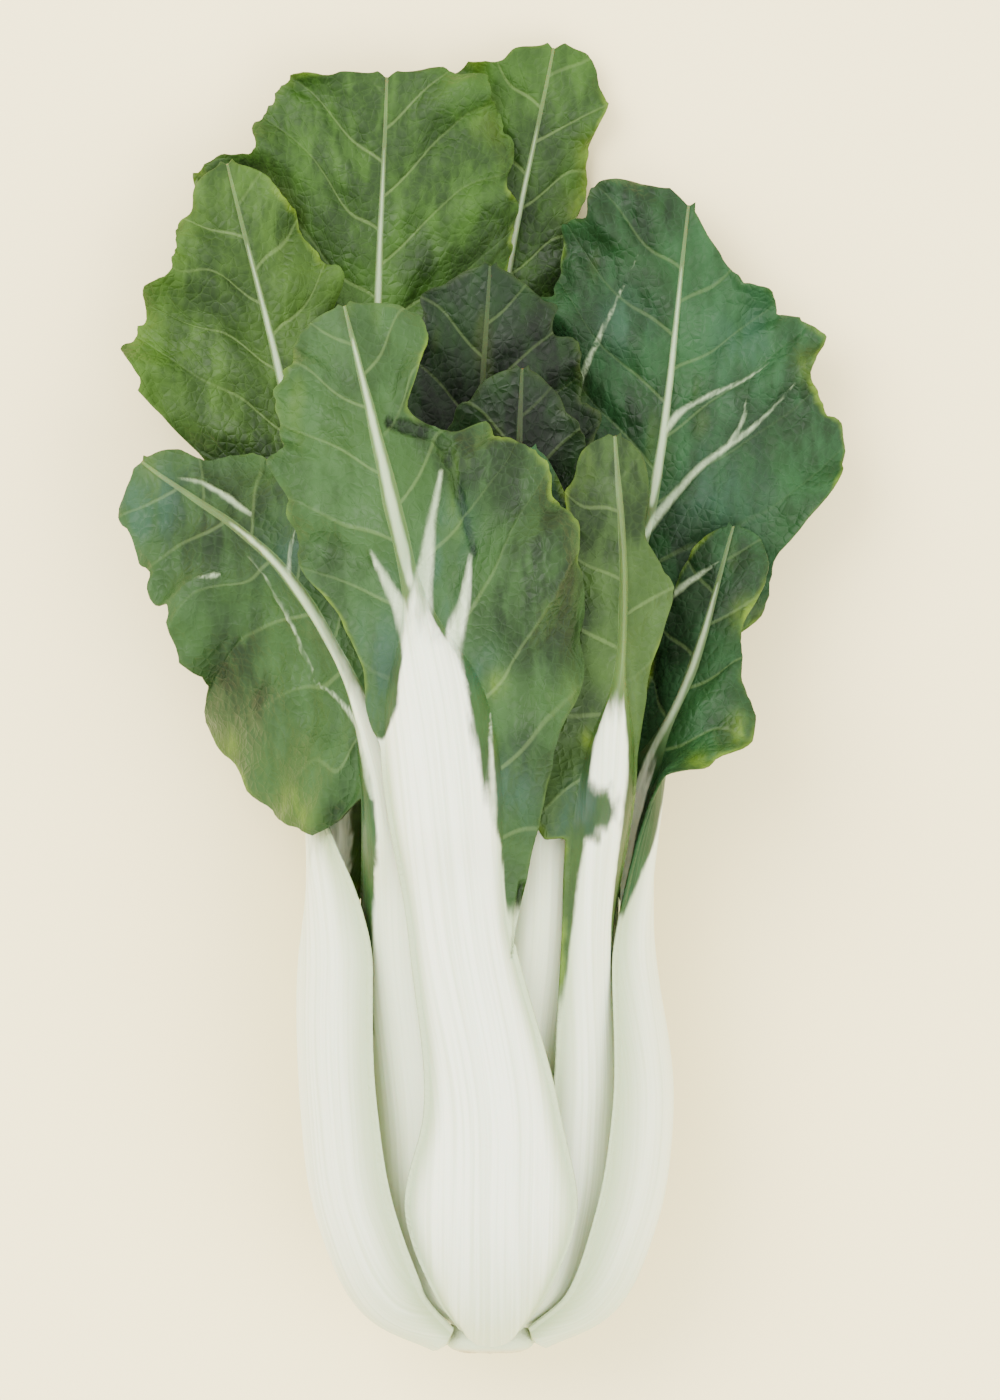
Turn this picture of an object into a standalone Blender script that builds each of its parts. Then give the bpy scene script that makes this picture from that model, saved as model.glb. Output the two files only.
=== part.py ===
"""A head of bok choy as picked, lying on its side with its leaves fanned out.

Lengths are in millimetres until the meshes are made in metres. +Y runs from the cut butt to the
leaf tips, +Z is up, and the head rests on z = 0. The origin is the middle of the flat spot under
the belly of the lowest stalk. Every leaf is a spoon-shaped white stalk, whose midrib runs on into
a thin waved green blade, and all of them grow round one short core.
"""

from dataclasses import dataclass

import bpy
import numpy as np

MM = 0.001

# The head as a whole
AXIS_HEIGHT = 37.2  # of the head's axis above the table, at the belly
SAG = 0.88  # height of the round head under its own weight, as a share
BELLY_Y = 5.0  # where the stalks stand furthest from the axis
BUTT_Y = -55.5  # the cut face of the core
CORE_TOP_Y = -35.0
CORE_RADIUS = 13.0
CORE_TIP_RADIUS = 2.4
CORE_SIDES = 24
CORE_ROUNDING = (6.4, 3.3, 1.1)  # how much slimmer its first rings are, round the cut face
CORE_GAP = 0.5  # between the core and the roots round it

# The solids
SHEET = 0.9  # thickness of a blade
STALK_EDGE = 1.5  # thickness of a stalk at its two edges
ROOT_THICK = 0.7  # thickness of a stalk at its root, as a share of that at its belly
RIB_ENDS = (0.31, 0.17, 0.07)  # half width of a midrib a fifth and half of the way, and at its end,
# as shares of that at the collar
RIB_LEAST = 0.7  # half width that no midrib goes below
RIB_DEPTHS = (4.6, 2.8, 1.4)  # its thickness there
RIB_SHARE = 0.8  # of the blade's length that the midrib reaches
SEAM = 0.9  # gap between a stalk's edge and its blade
SLOT_RUN_OUT = 4.0  # past the midrib's end, where the two halves of a blade meet
STALK_STEPS = (6, 2, 3)  # facets along a stalk: from root to belly, to waist, to collar
RIB_STEPS = (0, 0.1, 0.2, 0.27, 0.35, 0.5, 0.67, RIB_SHARE)  # where its midrib's facets meet
STALK_SIDES = 5  # facets across one face of a stalk
BLADE_PITCH = 8.0  # length of a blade's facets along its midrib
BLADE_SIDES = 4  # facets from midrib to margin

# The form of a blade
VEIN_PITCH = 17.0  # between the side veins where they leave the midrib
QUILT = 1.6  # how far the blade bulges between two veins
WAVE_LENGTH = 30.0  # of the ruffled margin
SCALLOP = 1.2  # how far the margin goes in and out between its marked points
OVERRUN = 60.0  # of the midrib's line past the tip, which side veins may reach

# How the blades lie on each other
CELL = 2.0
LAY_GAP = 1.6
LAY_REACH = 4  # cells over which a leaf is eased up over what lies under it
LAY_FROM, LAY_FULL = 56.0, 78.0  # Y where a leaf starts to be laid, and where it is laid in full
FIELD_LOW = np.array([-120.0, -80.0])
FIELD_SIZE = (120, 190)  # cells along X and Y


@dataclass
class Leaf:
    """One leaf. Points are (x, y, z) on the middle of its stalk and midrib, as the head lies."""

    name: str
    azimuth: float  # degrees round the axis where it grows, 0 at +X and 90 on top
    girth: float  # from the axis to the middle of the stalk's wall at the belly
    waist: tuple
    collar: tuple  # where stalk turns to midrib
    crown: tuple
    tip: tuple
    facing: tuple  # degrees that the blade's back faces, at the collar and at the tip
    half: tuple  # the stalk's half width at root, cup, bowl, belly, waist and collar
    thick: tuple  # the stalk's thickness at belly and collar
    left: tuple  # (x, y) along the blade's left margin as seen from above, from base to tip
    right: tuple
    left_sweep: tuple = (0.3, 0.8)  # how far the side veins lean forward, at base and at tip
    right_sweep: tuple = (0.3, 0.8)
    droop: tuple = (0.12, 0.006)  # slope and curve of the blade towards its face
    ruffle: float = 3.0
    phase: float = 0.0


# From the lowest leaf to the highest, in the order in which they lie
LEAVES = (
    Leaf("back_tall", 270, 40, (2, 48, 4.2), (3, 108, 4.2), (1, 190, 4), (16, 272, 8), (270, 270),
         (8.2, 16.5, 22, 24, 16, 10), (8, 7),
         ((-8, 96), (-15, 120), (-26, 155), (-35, 195), (-38, 230), (-33, 254), (-20, 263), (-4, 266),
          (8, 272)),
         ((12, 96), (17, 125), (24, 160), (27, 200), (22, 228), (25, 246), (28, 262), (24, 271)),
         droop=(-0.02, 0.0), ruffle=3.6, phase=0.4),
    Leaf("back", 224, 31, (-24, 48, 16), (-19, 104, 13), (-28, 182, 14), (-26, 264, 16), (256, 268),
         (6.6, 12, 15, 17, 13, 9), (7, 6.5),
         ((-28, 94), (-37, 122), (-52, 158), (-66, 195), (-73, 222), (-73, 239), (-66, 245),
          (-60, 245), (-57, 256), (-49, 264), (-38, 266)),
         ((-12, 94), (-6, 125), (0, 160), (4, 200), (5, 235), (2, 258), (-10, 267)),
         droop=(-0.06, -0.003), ruffle=3.8, phase=1.7),
    Leaf("left_back", 165, 43.5, (-43, 48, 41), (-39, 92, 30), (-48, 166, 20), (-66, 242, 14), (230, 264),
         (9, 21, 26, 25, 23, 10.6), (8, 6.5),
         ((-47, 96), (-56, 122), (-62, 146), (-67, 164), (-73, 174), (-82, 176), (-90, 177), (-91, 188),
          (-88, 202), (-82, 216), (-76, 228), (-72, 239)),
         ((-32, 96), (-27, 125), (-26, 155), (-30, 185), (-38, 208), (-48, 227), (-58, 240)),
         droop=(-0.045, -0.0045), ruffle=3.8, phase=2.9),
    Leaf("right_back", 318, 31, (25, 48, 17), (27, 98, 19), (41, 158, 21), (50, 232, 17), (296, 275),
         (6.6, 12, 15, 17, 13, 8), (7, 6),
         ((20, 94), (14, 125), (11, 155), (12, 190), (16, 214), (22, 229), (32, 238), (42, 237)),
         ((35, 92), (48, 112), (62, 124), (70, 136), (72, 146), (84, 156), (90, 166), (89, 174),
          (81, 183), (84, 195), (75, 205), (63, 213), (54, 225)),
         droop=(-0.07, -0.004), ruffle=3.8, phase=4.2),
    Leaf("heart_low", 250, 20.5, (-4, 48, 27), (-6, 90, 27), (-4, 150, 30), (0, 216, 34), (265, 270),
         (4.8, 8, 10.5, 13, 9, 5.5), (5.5, 4.5),
         ((-12, 84), (-24, 115), (-30, 150), (-27, 185), (-15, 208)),
         ((0, 84), (14, 115), (24, 150), (24, 185), (12, 208)),
         droop=(-0.1, -0.004), ruffle=2.6, phase=5.1),
    Leaf("heart_high", 100, 11.5, (0, 48, 44), (2, 86, 42), (6, 140, 44), (8, 190, 48), (95, 92),
         (3, 5, 7, 9, 7, 4.5), (4.5, 4),
         ((-4, 80), (-12, 110), (-16, 140), (-12, 170), (-2, 186)),
         ((8, 80), (18, 110), (26, 140), (24, 168), (16, 184)),
         ruffle=2.0, phase=0.9),
    Leaf("right_side", 12, 42, (37, 48, 41.5), (38, 84, 38), (51, 116, 34), (61, 151, 27), (326, 290),
         (8.5, 17.5, 22.5, 21.5, 14, 10), (8, 6.5),
         ((32, 84), (36, 100), (40, 116), (46, 134), (54, 148)),
         ((44, 80), (51, 86), (52, 91), (61, 98), (65, 106), (62, 118), (64, 130), (68, 137), (68, 147)),
         droop=(-0.04, -0.004), ruffle=2.4, phase=3.3),
    Leaf("left_front", 127, 30.5, (-23, 48, 58.5), (-25.3, 86, 58.6), (-49, 137, 56), (-87, 167, 34), (118, 110),
         (6.2, 11.5, 15, 17, 13, 8.6), (7, 6),
         ((-34, 83), (-36, 76), (-41, 74.5), (-50, 76), (-57, 84), (-64, 92), (-71, 100), (-73, 110),
          (-78, 122), (-84, 136), (-90, 148), (-91, 160)),
         ((-20, 86), (-17, 110), (-21, 135), (-32, 156), (-47, 168), (-60, 169), (-71, 167), (-80, 170)),
         left_sweep=(-0.8, 0.4), droop=(0.16, 0.008), ruffle=3.0, phase=1.2),
    Leaf("centre_right", 66, 20.5, (13, 48, 58), (14.5, 88, 58), (14, 130, 56), (10, 170, 52), (80, 90),
         (4.8, 8, 10.5, 13, 9, 5.5), (5.5, 4.5),
         ((9, 84), (4, 110), (-2, 140), (0, 160)),
         ((21, 84), (27, 105), (26, 130), (20, 155)),
         ruffle=2.0, phase=2.2),
    Leaf("right_front", 36, 31.5, (25.5, 48, 57), (30.5, 96, 60), (33, 136, 64), (31, 173, 58), (72, 86),
         (6.2, 11, 13, 12.5, 9, 6), (7, 5),
         ((29, 74), (24, 71), (15, 72), (11, 80), (13, 90), (20, 99), (21, 112), (20, 140), (20, 160),
          (24, 170)),
         ((36, 92), (38, 105), (40, 117), (44, 126), (45, 133), (42, 141), (38, 148), (39, 158),
          (38, 167)),
         left_sweep=(-1.0, 0.6), droop=(0.12, 0.006), ruffle=2.0, phase=4.9),
    Leaf("front", 89.5, 40, (-7, 48, 72), (-14, 110, 71), (-25, 160, 74), (-36, 205, 62), (92, 98),
         (7, 12.5, 21, 15.8, 11.7, 12), (8.5, 8),
         ((-27, 96), (-30, 104), (-31, 116), (-38, 128), (-46, 142), (-51, 158), (-52, 176),
          (-49, 192), (-43, 202)),
         ((4.5, 42), (8, 58), (10, 70), (14, 86), (19, 104), (23, 118), (23, 134), (20, 150),
          (14, 164), (4, 173), (-8, 175), (-18, 176), (-22, 182), (-17, 190), (-13, 198), (-24, 205)),
         droop=(0.14, 0.007), ruffle=3.0, phase=5.8),
)


def through(x, xs, ys):
    """The smooth curve through (xs, ys), read at x. ys may be numbers or points."""
    xs, ys = np.asarray(xs, float), np.asarray(ys, float)
    steps = np.diff(xs)
    slopes = (np.diff(ys, axis=0).T / steps).T
    inner = ((slopes[:-1].T * steps[1:] + slopes[1:].T * steps[:-1]) / (steps[:-1] + steps[1:])).T
    tangents = np.concatenate([slopes[:1], inner, slopes[-1:]])
    x = np.clip(x, xs[0], xs[-1])
    i = np.clip(np.searchsorted(xs, x, side="right") - 1, 0, len(steps) - 1)
    h, t = steps[i], (x - xs[i]) / steps[i]
    if ys.ndim > 1:
        h, t = h[..., None], t[..., None]
    return (
        (1 + 2 * t) * (1 - t) ** 2 * ys[i]
        + t * (1 - t) ** 2 * h * tangents[i]
        + t * t * (3 - 2 * t) * ys[i + 1]
        + t * t * (t - 1) * h * tangents[i + 1]
    )


def ease(low, high, x):
    t = np.clip((x - low) / (high - low), 0, 1)
    return t * t * (3 - 2 * t)


def unit(v):
    return v / np.linalg.norm(v, axis=-1, keepdims=True)


def sagged(points):
    """The round head's points as it lies under its own weight."""
    points = np.array(points, float)
    points[..., 2] = AXIS_HEIGHT + SAG * (points[..., 2] - AXIS_HEIGHT)
    return points


def core_radius(y):
    """The core tapers from its cut butt up into the heart."""
    share = np.clip((y - BUTT_Y) / (CORE_TOP_Y - BUTT_Y), 0, 1)
    return CORE_RADIUS + (CORE_TIP_RADIUS - CORE_RADIUS) * share**1.15


class Spine:
    """The line of a leaf's stalk and midrib, with its widths, and the directions at each point."""

    SAMPLES = 500

    def __init__(self, leaf):
        angle = np.radians(leaf.azimuth)
        outward = np.array([np.cos(angle), 0.0, np.sin(angle)])
        root_y = -51.5 + (41 - leaf.girth) * 0.45
        root_r = core_radius(root_y - leaf.thick[0] * ROOT_THICK / 2) + CORE_GAP
        bowl = [
            self.bowl_point(root_r, root_y, leaf.girth, outward, turn) for turn in (0, 30, 62, 90)
        ]
        lying = np.array([leaf.waist, leaf.collar, leaf.crown, leaf.tip], float)
        lying[:, 2] = AXIS_HEIGHT + (lying[:, 2] - AXIS_HEIGHT) / SAG
        marks = np.vstack([bowl, lying])
        chord = np.concatenate([[0], np.cumsum(np.linalg.norm(np.diff(marks, axis=0), axis=1))])
        fine = through(np.linspace(0, chord[-1], self.SAMPLES), chord, marks)
        end = fine[-1] + unit(fine[-1] - fine[-8]) * OVERRUN
        fine = np.vstack([fine, np.linspace(fine[-1], end, 60)[1:]])
        self.at = np.concatenate([[0], np.cumsum(np.linalg.norm(np.diff(fine, axis=0), axis=1))])
        self.points = fine
        whole = np.interp(chord, np.linspace(0, chord[-1], self.SAMPLES), self.at[: self.SAMPLES])
        self.belly_at, self.waist_at, self.collar_at = whole[3:6]
        self.tip_at = whole[7]
        length = self.tip_at - self.collar_at
        self.rib_end_at = self.collar_at + RIB_SHARE * length

        turned = np.interp(
            self.at,
            [self.waist_at, self.collar_at, self.tip_at],
            self.unwrapped(leaf.azimuth, *leaf.facing),
        )
        turned = self.smoothed(turned)
        across = np.stack([np.sin(turned), 0 * turned, -np.cos(turned)], axis=1)
        along = unit(np.gradient(fine, axis=0))
        across = unit(across - np.sum(across * along, axis=1, keepdims=True) * along)
        self.along, self.across, self.back = along, across, np.cross(across, along)

        stalk = [0, *whole[1:6]]
        rib = [self.collar_at + 0.2 * length, self.collar_at + 0.5 * length, self.rib_end_at]
        to_axis = [root_r] + [root_r + (leaf.girth - root_r) * share for share in (0.5, 0.88, 1)]
        rib_half = [max(share * leaf.half[5], RIB_LEAST) for share in RIB_ENDS]
        self.half = (stalk + rib, [*leaf.half, *rib_half])
        self.bend = (stalk, [*to_axis, leaf.girth * 0.86, leaf.half[5] * 1.7])
        self.thickness = (
            [0, self.belly_at, self.collar_at, *rib],
            [leaf.thick[0] * ROOT_THICK, *leaf.thick, *RIB_DEPTHS],
        )
        self.rows_from = [self.nearest(margin[0]) for margin in (leaf.left, leaf.right)]

    @staticmethod
    def bowl_point(root_r, root_y, girth, outward, turn):
        turn = np.radians(turn)
        r = root_r + (girth - root_r) * np.sin(turn)
        y = root_y + (BELLY_Y - root_y) * (1 - np.cos(turn))
        return np.array([0, y, AXIS_HEIGHT]) + outward * r

    @staticmethod
    def unwrapped(first, *rest):
        """Degrees to radians, each taken the short way round from the one before."""
        out = [first]
        for degrees in rest:
            out.append(out[-1] + (degrees - out[-1] + 180) % 360 - 180)
        return np.radians(out)

    @staticmethod
    def smoothed(values, width=41):
        padded = np.pad(values, width // 2, mode="edge")
        return np.convolve(padded, np.ones(width) / width, mode="valid")

    def nearest(self, spot):
        """How far along the leaf its line passes closest to this (x, y)."""
        past_belly = self.at > self.belly_at
        away = np.linalg.norm(self.points[past_belly][:, :2] - spot, axis=1)
        return self.at[past_belly][np.argmin(away)]

    def frame(self, at):
        """Point, across and back directions at these distances along the leaf."""
        read = [
            np.stack([np.interp(at, self.at, a[:, k]) for k in range(3)], axis=-1)
            for a in (self.points, self.across, self.back)
        ]
        return read[0], unit(read[1]), unit(read[2])

    def section(self, at):
        """Half width, bend radius and thickness of the stalk at these distances."""
        return through(at, *self.half), through(at, *self.bend), through(at, *self.thickness)

    def wall_point(self, at, q):
        """The middle of the stalk's curved wall at q across from its ridge, and the way out there."""
        centre, across, back = self.frame(at)
        _, bend, _ = self.section(at)
        turn = (q / bend)[..., None]
        bend = bend[..., None]
        out = np.cos(turn) * back + np.sin(turn) * across
        return centre + bend * (out - back), out


def stalk_rings(spine):
    """Rings of points round the stalk and midrib, from the root to where the midrib runs out."""
    at = np.concatenate([
        np.linspace(0, spine.belly_at, STALK_STEPS[0], endpoint=False),
        np.linspace(spine.belly_at, spine.waist_at, STALK_STEPS[1], endpoint=False),
        np.linspace(spine.waist_at, spine.collar_at, STALK_STEPS[2], endpoint=False),
        spine.collar_at + np.array(RIB_STEPS) * (spine.tip_at - spine.collar_at),
    ])
    half, _, thickness = spine.section(at)
    edge = np.minimum(STALK_EDGE, 0.8 * thickness)
    rib = ease(spine.waist_at, spine.collar_at, at)
    share = np.sin(np.linspace(-1, 1, STALK_SIDES + 1) * np.pi / 2 * 0.94) / np.sin(np.pi / 2 * 0.94)
    q = half[:, None] * share
    middle, out = spine.wall_point(at[:, None] + 0 * q, q)
    depth = edge[:, None] + (thickness - edge)[:, None] * (1 - share**2) ** 0.8
    outer = middle + out * (depth * (0.5 + 0.22 * rib[:, None]))[..., None]
    inner = middle - out * (depth * (0.5 - 0.22 * rib[:, None]))[..., None]
    return sagged(np.concatenate([outer, inner[:, ::-1]], axis=1))


def blade_rows(spine):
    """Where the side veins and the lines between them leave the midrib."""
    first = min(spine.rows_from)
    count = int(round((spine.tip_at - first) / BLADE_PITCH)) + 1
    return np.linspace(first, spine.tip_at, count)


def inside(points, outline):
    """Whether each point lies within the closed outline, seen from above."""
    x, y = points[..., 0, None], points[..., 1, None]
    a, b = outline, np.roll(outline, -1, axis=0)
    spans = (a[:, 1] > y) != (b[:, 1] > y)
    slope = (b[:, 0] - a[:, 0]) / np.where(b[:, 1] == a[:, 1], 1, b[:, 1] - a[:, 1])
    return (spans & (x < a[:, 0] + slope * (y - a[:, 1]))).sum(-1) % 2 == 1


def outline_of(leaf):
    """The blade's whole margin from above, rounded through its marked points."""
    marks = np.array([*leaf.left, leaf.tip[:2], *leaf.right[::-1]], float)
    chord = np.concatenate([[0], np.cumsum(np.linalg.norm(np.diff(marks, axis=0), axis=1))])
    return through(np.arange(0, chord[-1], 1.5), chord, marks)


class HalfBlade:
    """The left (-1) or right (+1) half of a blade as seen from above."""

    def __init__(self, leaf, spine, side):
        self.leaf, self.spine, self.side = leaf, spine, side
        self.first = spine.rows_from[0 if side < 0 else 1]
        self.sweep = leaf.left_sweep if side < 0 else leaf.right_sweep
        # Blades that lie with their face up have the picture's left on the other side.
        self.hand = side * flip_of(spine)
        # Each side vein is followed out to where it leaves the outline.
        self.starts = np.linspace(self.first, spine.tip_at, 140)
        out = np.arange(0.0, 75.0, 0.5)
        rows = self.starts[:, None] + 0 * out
        path = self.points(rows, out + 0 * rows, None)
        plan = np.linalg.norm((path - path[:, :1])[..., :2], axis=-1)
        kept = inside(path, outline_of(leaf)) & (plan > 0.7 * out - 3)
        found = np.cumprod(kept, axis=1).sum(axis=1) * 0.5
        self.breadths = np.convolve(np.pad(found, 3, mode="edge"), np.ones(7) / 7, mode="valid")

    def breadth(self, rows):
        wobble = np.sin(rows / 3.3 + self.leaf.phase * 3) + 0.5 * np.sin(rows / 1.9 + self.side)
        found = np.interp(rows, self.starts, self.breadths)
        return np.maximum(found + SCALLOP * wobble * ease(5, 20, found), 1.2)

    def points(self, rows, d, breadth):
        """Where the blade is, d out along the side veins that leave the midrib at these rows."""
        spine, droop = self.spine, self.leaf.droop
        up = (rows - self.first) / (spine.tip_at - self.first)
        lean = self.sweep[0] + (self.sweep[1] - self.sweep[0]) * ease(0, 0.55, up)
        half, bend, _ = spine.section(rows)
        open_slot = 1 - np.clip((rows - spine.rib_end_at) / SLOT_RUN_OUT, 0, 1)
        turn = (half + SEAM) * open_slot / bend
        away = bend * np.sin(turn) + d
        free = ease(spine.collar_at - 12, spine.collar_at + 18, rows)
        slope = np.tan(turn) * (1 - free) + droop[0] * free
        rise = -bend * (1 - np.cos(turn)) - slope * d - droop[1] * d * d / 2
        if breadth is not None:
            rise = rise + self.relief(rows, d, breadth)
        centre, across, back = spine.frame(rows + lean * d)
        return centre + (self.hand * away)[..., None] * across + rise[..., None] * back

    def relief(self, rows, d, breadth):
        """The ruffle that grows towards the margin, and the quilting between the side veins."""
        x, phase = d / breadth, self.leaf.phase
        waves = 2 * np.pi * (rows + 0.4 * d) / WAVE_LENGTH + phase + self.side
        swing = np.sin(waves) + 0.35 * np.sin(2.3 * waves + phase)
        vein = rows / VEIN_PITCH + phase + 0.25 * self.side
        full = np.minimum(1, d / 6) * (1 - x**4) * ease(4, 18, breadth)
        quilt = QUILT * np.sin(np.pi * vein) ** 2 * full
        return self.leaf.ruffle * ease(3, 22, breadth) * x**1.8 * swing - quilt

    def grid(self, rows):
        """Points of the half, rows by columns from the midrib out."""
        rows = rows[rows >= self.first - 0.01]
        breadth = self.breadth(rows)[:, None]
        d = breadth * np.linspace(0, 1, BLADE_SIDES + 1)
        return sagged(self.points(rows[:, None] + 0 * d, d, breadth))


def flip_of(spine):
    """+1 where the leaf's own right is the picture's right over the blade, else -1."""
    over = np.searchsorted(spine.at, (spine.collar_at + spine.tip_at) / 2)
    return 1.0 if spine.across[over, 0] > 0 else -1.0


class Pile:
    """Heights of what has been laid so far, on a grid of cells seen from above."""

    def __init__(self):
        self.top = np.full(FIELD_SIZE, -np.inf)

    @staticmethod
    def cells(points):
        return tuple(((points[..., :2] - FIELD_LOW) / CELL).astype(int).reshape(-1, 2).T)

    @staticmethod
    def spread(grid, reach, take):
        """Each cell takes the highest, lowest or mean of its neighbours within reach, row by row."""
        for axis in (0, 1):
            edges = [(reach, reach) if axis == a else (0, 0) for a in (0, 1)]
            padded = np.pad(grid, edges, mode="edge")
            size = grid.shape[axis]
            shifted = [np.take(padded, range(k, k + size), axis=axis) for k in range(2 * reach + 1)]
            grid = take(np.stack(shifted), axis=0)
        return grid

    def lift(self, surfaces):
        """How far a leaf of these surfaces must rise over each cell, eased out all round."""
        low = np.full(FIELD_SIZE, np.inf)
        for points in surfaces:
            np.minimum.at(low, self.cells(points), points[..., 2].ravel())
        low = self.spread(low, 1, np.min)
        under = self.spread(self.top, 1, np.max)
        needed = np.where(np.isfinite(low) & np.isfinite(under), under + LAY_GAP - low, 0)
        wide = self.spread(np.maximum(needed, 0), LAY_REACH + 2, np.max)
        return self.spread(self.spread(wide, LAY_REACH, np.mean), LAY_REACH, np.mean)

    def add(self, surfaces):
        for points in surfaces:
            np.maximum.at(self.top, self.cells(points), points[..., 2].ravel())

    def raised(self, points, lift):
        """The points with the lift read between cells, growing from none at the stalks' waist."""
        spot = (points[..., :2] - FIELD_LOW) / CELL - 0.5
        cell = spot.astype(int)
        part = spot - cell
        x, y = cell[..., 0], cell[..., 1]
        above = (
            lift[x, y] * (1 - part[..., 0]) * (1 - part[..., 1])
            + lift[x + 1, y] * part[..., 0] * (1 - part[..., 1])
            + lift[x, y + 1] * (1 - part[..., 0]) * part[..., 1]
            + lift[x + 1, y + 1] * part[..., 0] * part[..., 1]
        )
        points = points.copy()
        points[..., 2] += above * ease(LAY_FROM, LAY_FULL, points[..., 1])
        return points


def filled(grid, times=6):
    """A grid of points with more between them, so that no cell of the pile is missed."""
    for axis in (0, 1):
        size = grid.shape[axis]
        where = np.linspace(0, size - 1, (size - 1) * times + 1)
        low = np.minimum(where.astype(int), size - 2)
        part = where - low
        part = part[:, None, None] if axis == 0 else part[None, :, None]
        grid = np.take(grid, low, axis=axis) * (1 - part) + np.take(grid, low + 1, axis=axis) * part
    return grid


def laid_surfaces(rings, halves):
    """What of a leaf meets the leaves above and below it, past the waist."""
    closed = np.concatenate([rings, rings[:, :1]], axis=1)
    surfaces = [filled(closed)]
    for half in halves:
        for offset in (-SHEET / 2, SHEET / 2):
            surfaces.append(filled(half) + [0, 0, offset])
    return [s[s[..., 1] > LAY_FROM - 2] for s in surfaces]


def mesh_object(name, vertices, faces, material):
    mesh = bpy.data.meshes.new(name)
    mesh.from_pydata((np.asarray(vertices) * MM).tolist(), [], [tuple(map(int, f)) for f in faces])
    mesh.update()
    mesh.shade_smooth()
    mesh.set_sharp_from_angle(angle=np.radians(50))
    mesh.materials.append(material)
    thing = bpy.data.objects.new(name, mesh)
    bpy.context.scene.collection.objects.link(thing)
    return thing


def ring_faces(count, size):
    """Triangles of a tube of rings, with both of its ends filled."""
    faces = []
    for i in range(count - 1):
        for j in range(size):
            a, b = i * size + j, i * size + (j + 1) % size
            faces += [(a, b, b + size), (a, b + size, a + size)]
    last = (count - 1) * size
    for j in range(size // 2 - 1):
        a, b = j, j + 1
        c, d = size - 1 - j, size - 2 - j
        faces += [(a, d, b), (a, c, d)]
        faces += [(last + a, last + b, last + d), (last + a, last + d, last + c)]
    return np.array(faces)


def outward(vertices, faces):
    """The faces turned so that the solid's volume is positive."""
    volume = np.linalg.det(np.asarray(vertices)[faces]).sum()
    return faces if volume > 0 else faces[:, ::-1]


def sheet_solid(points, triangles):
    """A thin solid about a surface: the same triangles on both faces, and a wall round its edge."""
    corners = points[triangles]
    face_normals = np.cross(corners[:, 1] - corners[:, 0], corners[:, 2] - corners[:, 0])
    normals = np.zeros_like(points)
    for k in range(3):
        np.add.at(normals, triangles[:, k], face_normals)
    normals = unit(normals)
    count = len(points)
    vertices = np.vstack([points + normals * SHEET / 2, points - normals * SHEET / 2])
    edges = {}
    for a, b, c in triangles:
        for edge in ((a, b), (b, c), (c, a)):
            edges[edge] = True
    rim = [(a, b) for a, b in edges if (b, a) not in edges]
    walls = [t for a, b in rim for t in ((b, a, a + count), (b, a + count, b + count))]
    return vertices, np.vstack([triangles, triangles[:, ::-1] + count, walls])


def blade_surface(halves, joined):
    """One surface of the two halves: apart along the midrib, and joined past its end."""
    points, triangles = [], []
    shared = {}
    for k, half in enumerate(halves):
        rows, columns = half.shape[:2]
        index = np.zeros((rows, columns), int)
        for i in range(rows):
            from_tip = rows - i
            for j in range(columns):
                if j == 0 and from_tip <= joined and from_tip in shared:
                    index[i, j] = shared[from_tip]
                    continue
                index[i, j] = len(points)
                points.append(half[i, j])
                if j == 0 and from_tip <= joined:
                    shared[from_tip] = index[i, j]
        for i in range(rows - 1):
            for j in range(columns - 1):
                a, b = index[i, j], index[i, j + 1]
                c, d = index[i + 1, j + 1], index[i + 1, j]
                pair = [(a, b, c), (a, c, d)] if (i + j) % 2 else [(a, b, d), (b, c, d)]
                triangles += pair if k else [t[::-1] for t in pair]
    return np.array(points), np.array(triangles)


def build_leaf(leaf, pile, white, green):
    spine = Spine(leaf)
    rings = stalk_rings(spine)
    rows = blade_rows(spine)
    halves = [HalfBlade(leaf, spine, side).grid(rows) for side in (-1, 1)]
    lift = pile.lift(laid_surfaces(rings, halves))
    rings = pile.raised(rings, lift)
    rings[..., 2] = np.maximum(rings[..., 2], 0)
    halves = [pile.raised(half, lift) for half in halves]
    for half in halves:
        half[..., 2] = np.maximum(half[..., 2], SHEET / 2)
    pile.add(laid_surfaces(rings, halves))

    count, size = rings.shape[:2]
    vertices = rings.reshape(-1, 3)
    mesh_object("stalk_" + leaf.name, vertices, outward(vertices, ring_faces(count, size)), white)
    joined = int(np.sum(rows > spine.rib_end_at + SLOT_RUN_OUT))
    points, triangles = blade_surface(halves, joined)
    vertices, faces = sheet_solid(points, triangles)
    mesh_object("blade_" + leaf.name, vertices, outward(vertices, faces), green)


def build_core(material):
    """The short stem that the leaves grow from, cut flat across at the butt."""
    levels = np.array([BUTT_Y, BUTT_Y + 0.9, -53, -49, -45, -41, -37.5, CORE_TOP_Y])
    radii = core_radius(levels)
    radii[:3] -= CORE_ROUNDING
    turns = np.linspace(0, 2 * np.pi, CORE_SIDES, endpoint=False)
    rings = [
        [(r * np.cos(t), y, AXIS_HEIGHT + r * np.sin(t)) for t in turns]
        for y, r in zip(levels, radii)
    ]
    vertices = sagged(rings).reshape(-1, 3)
    faces = outward(vertices, ring_faces(len(levels), CORE_SIDES))
    return mesh_object("core", vertices, faces, material)


def plant_material(name, colour, roughness):
    material = bpy.data.materials.new(name)
    material.use_nodes = True
    shader = material.node_tree.nodes["Principled BSDF"]
    shader.inputs["Base Color"].default_value = (*colour, 1)
    shader.inputs["Roughness"].default_value = roughness
    shader.inputs["Metallic"].default_value = 0
    material.diffuse_color = (*colour, 1)
    return material


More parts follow.
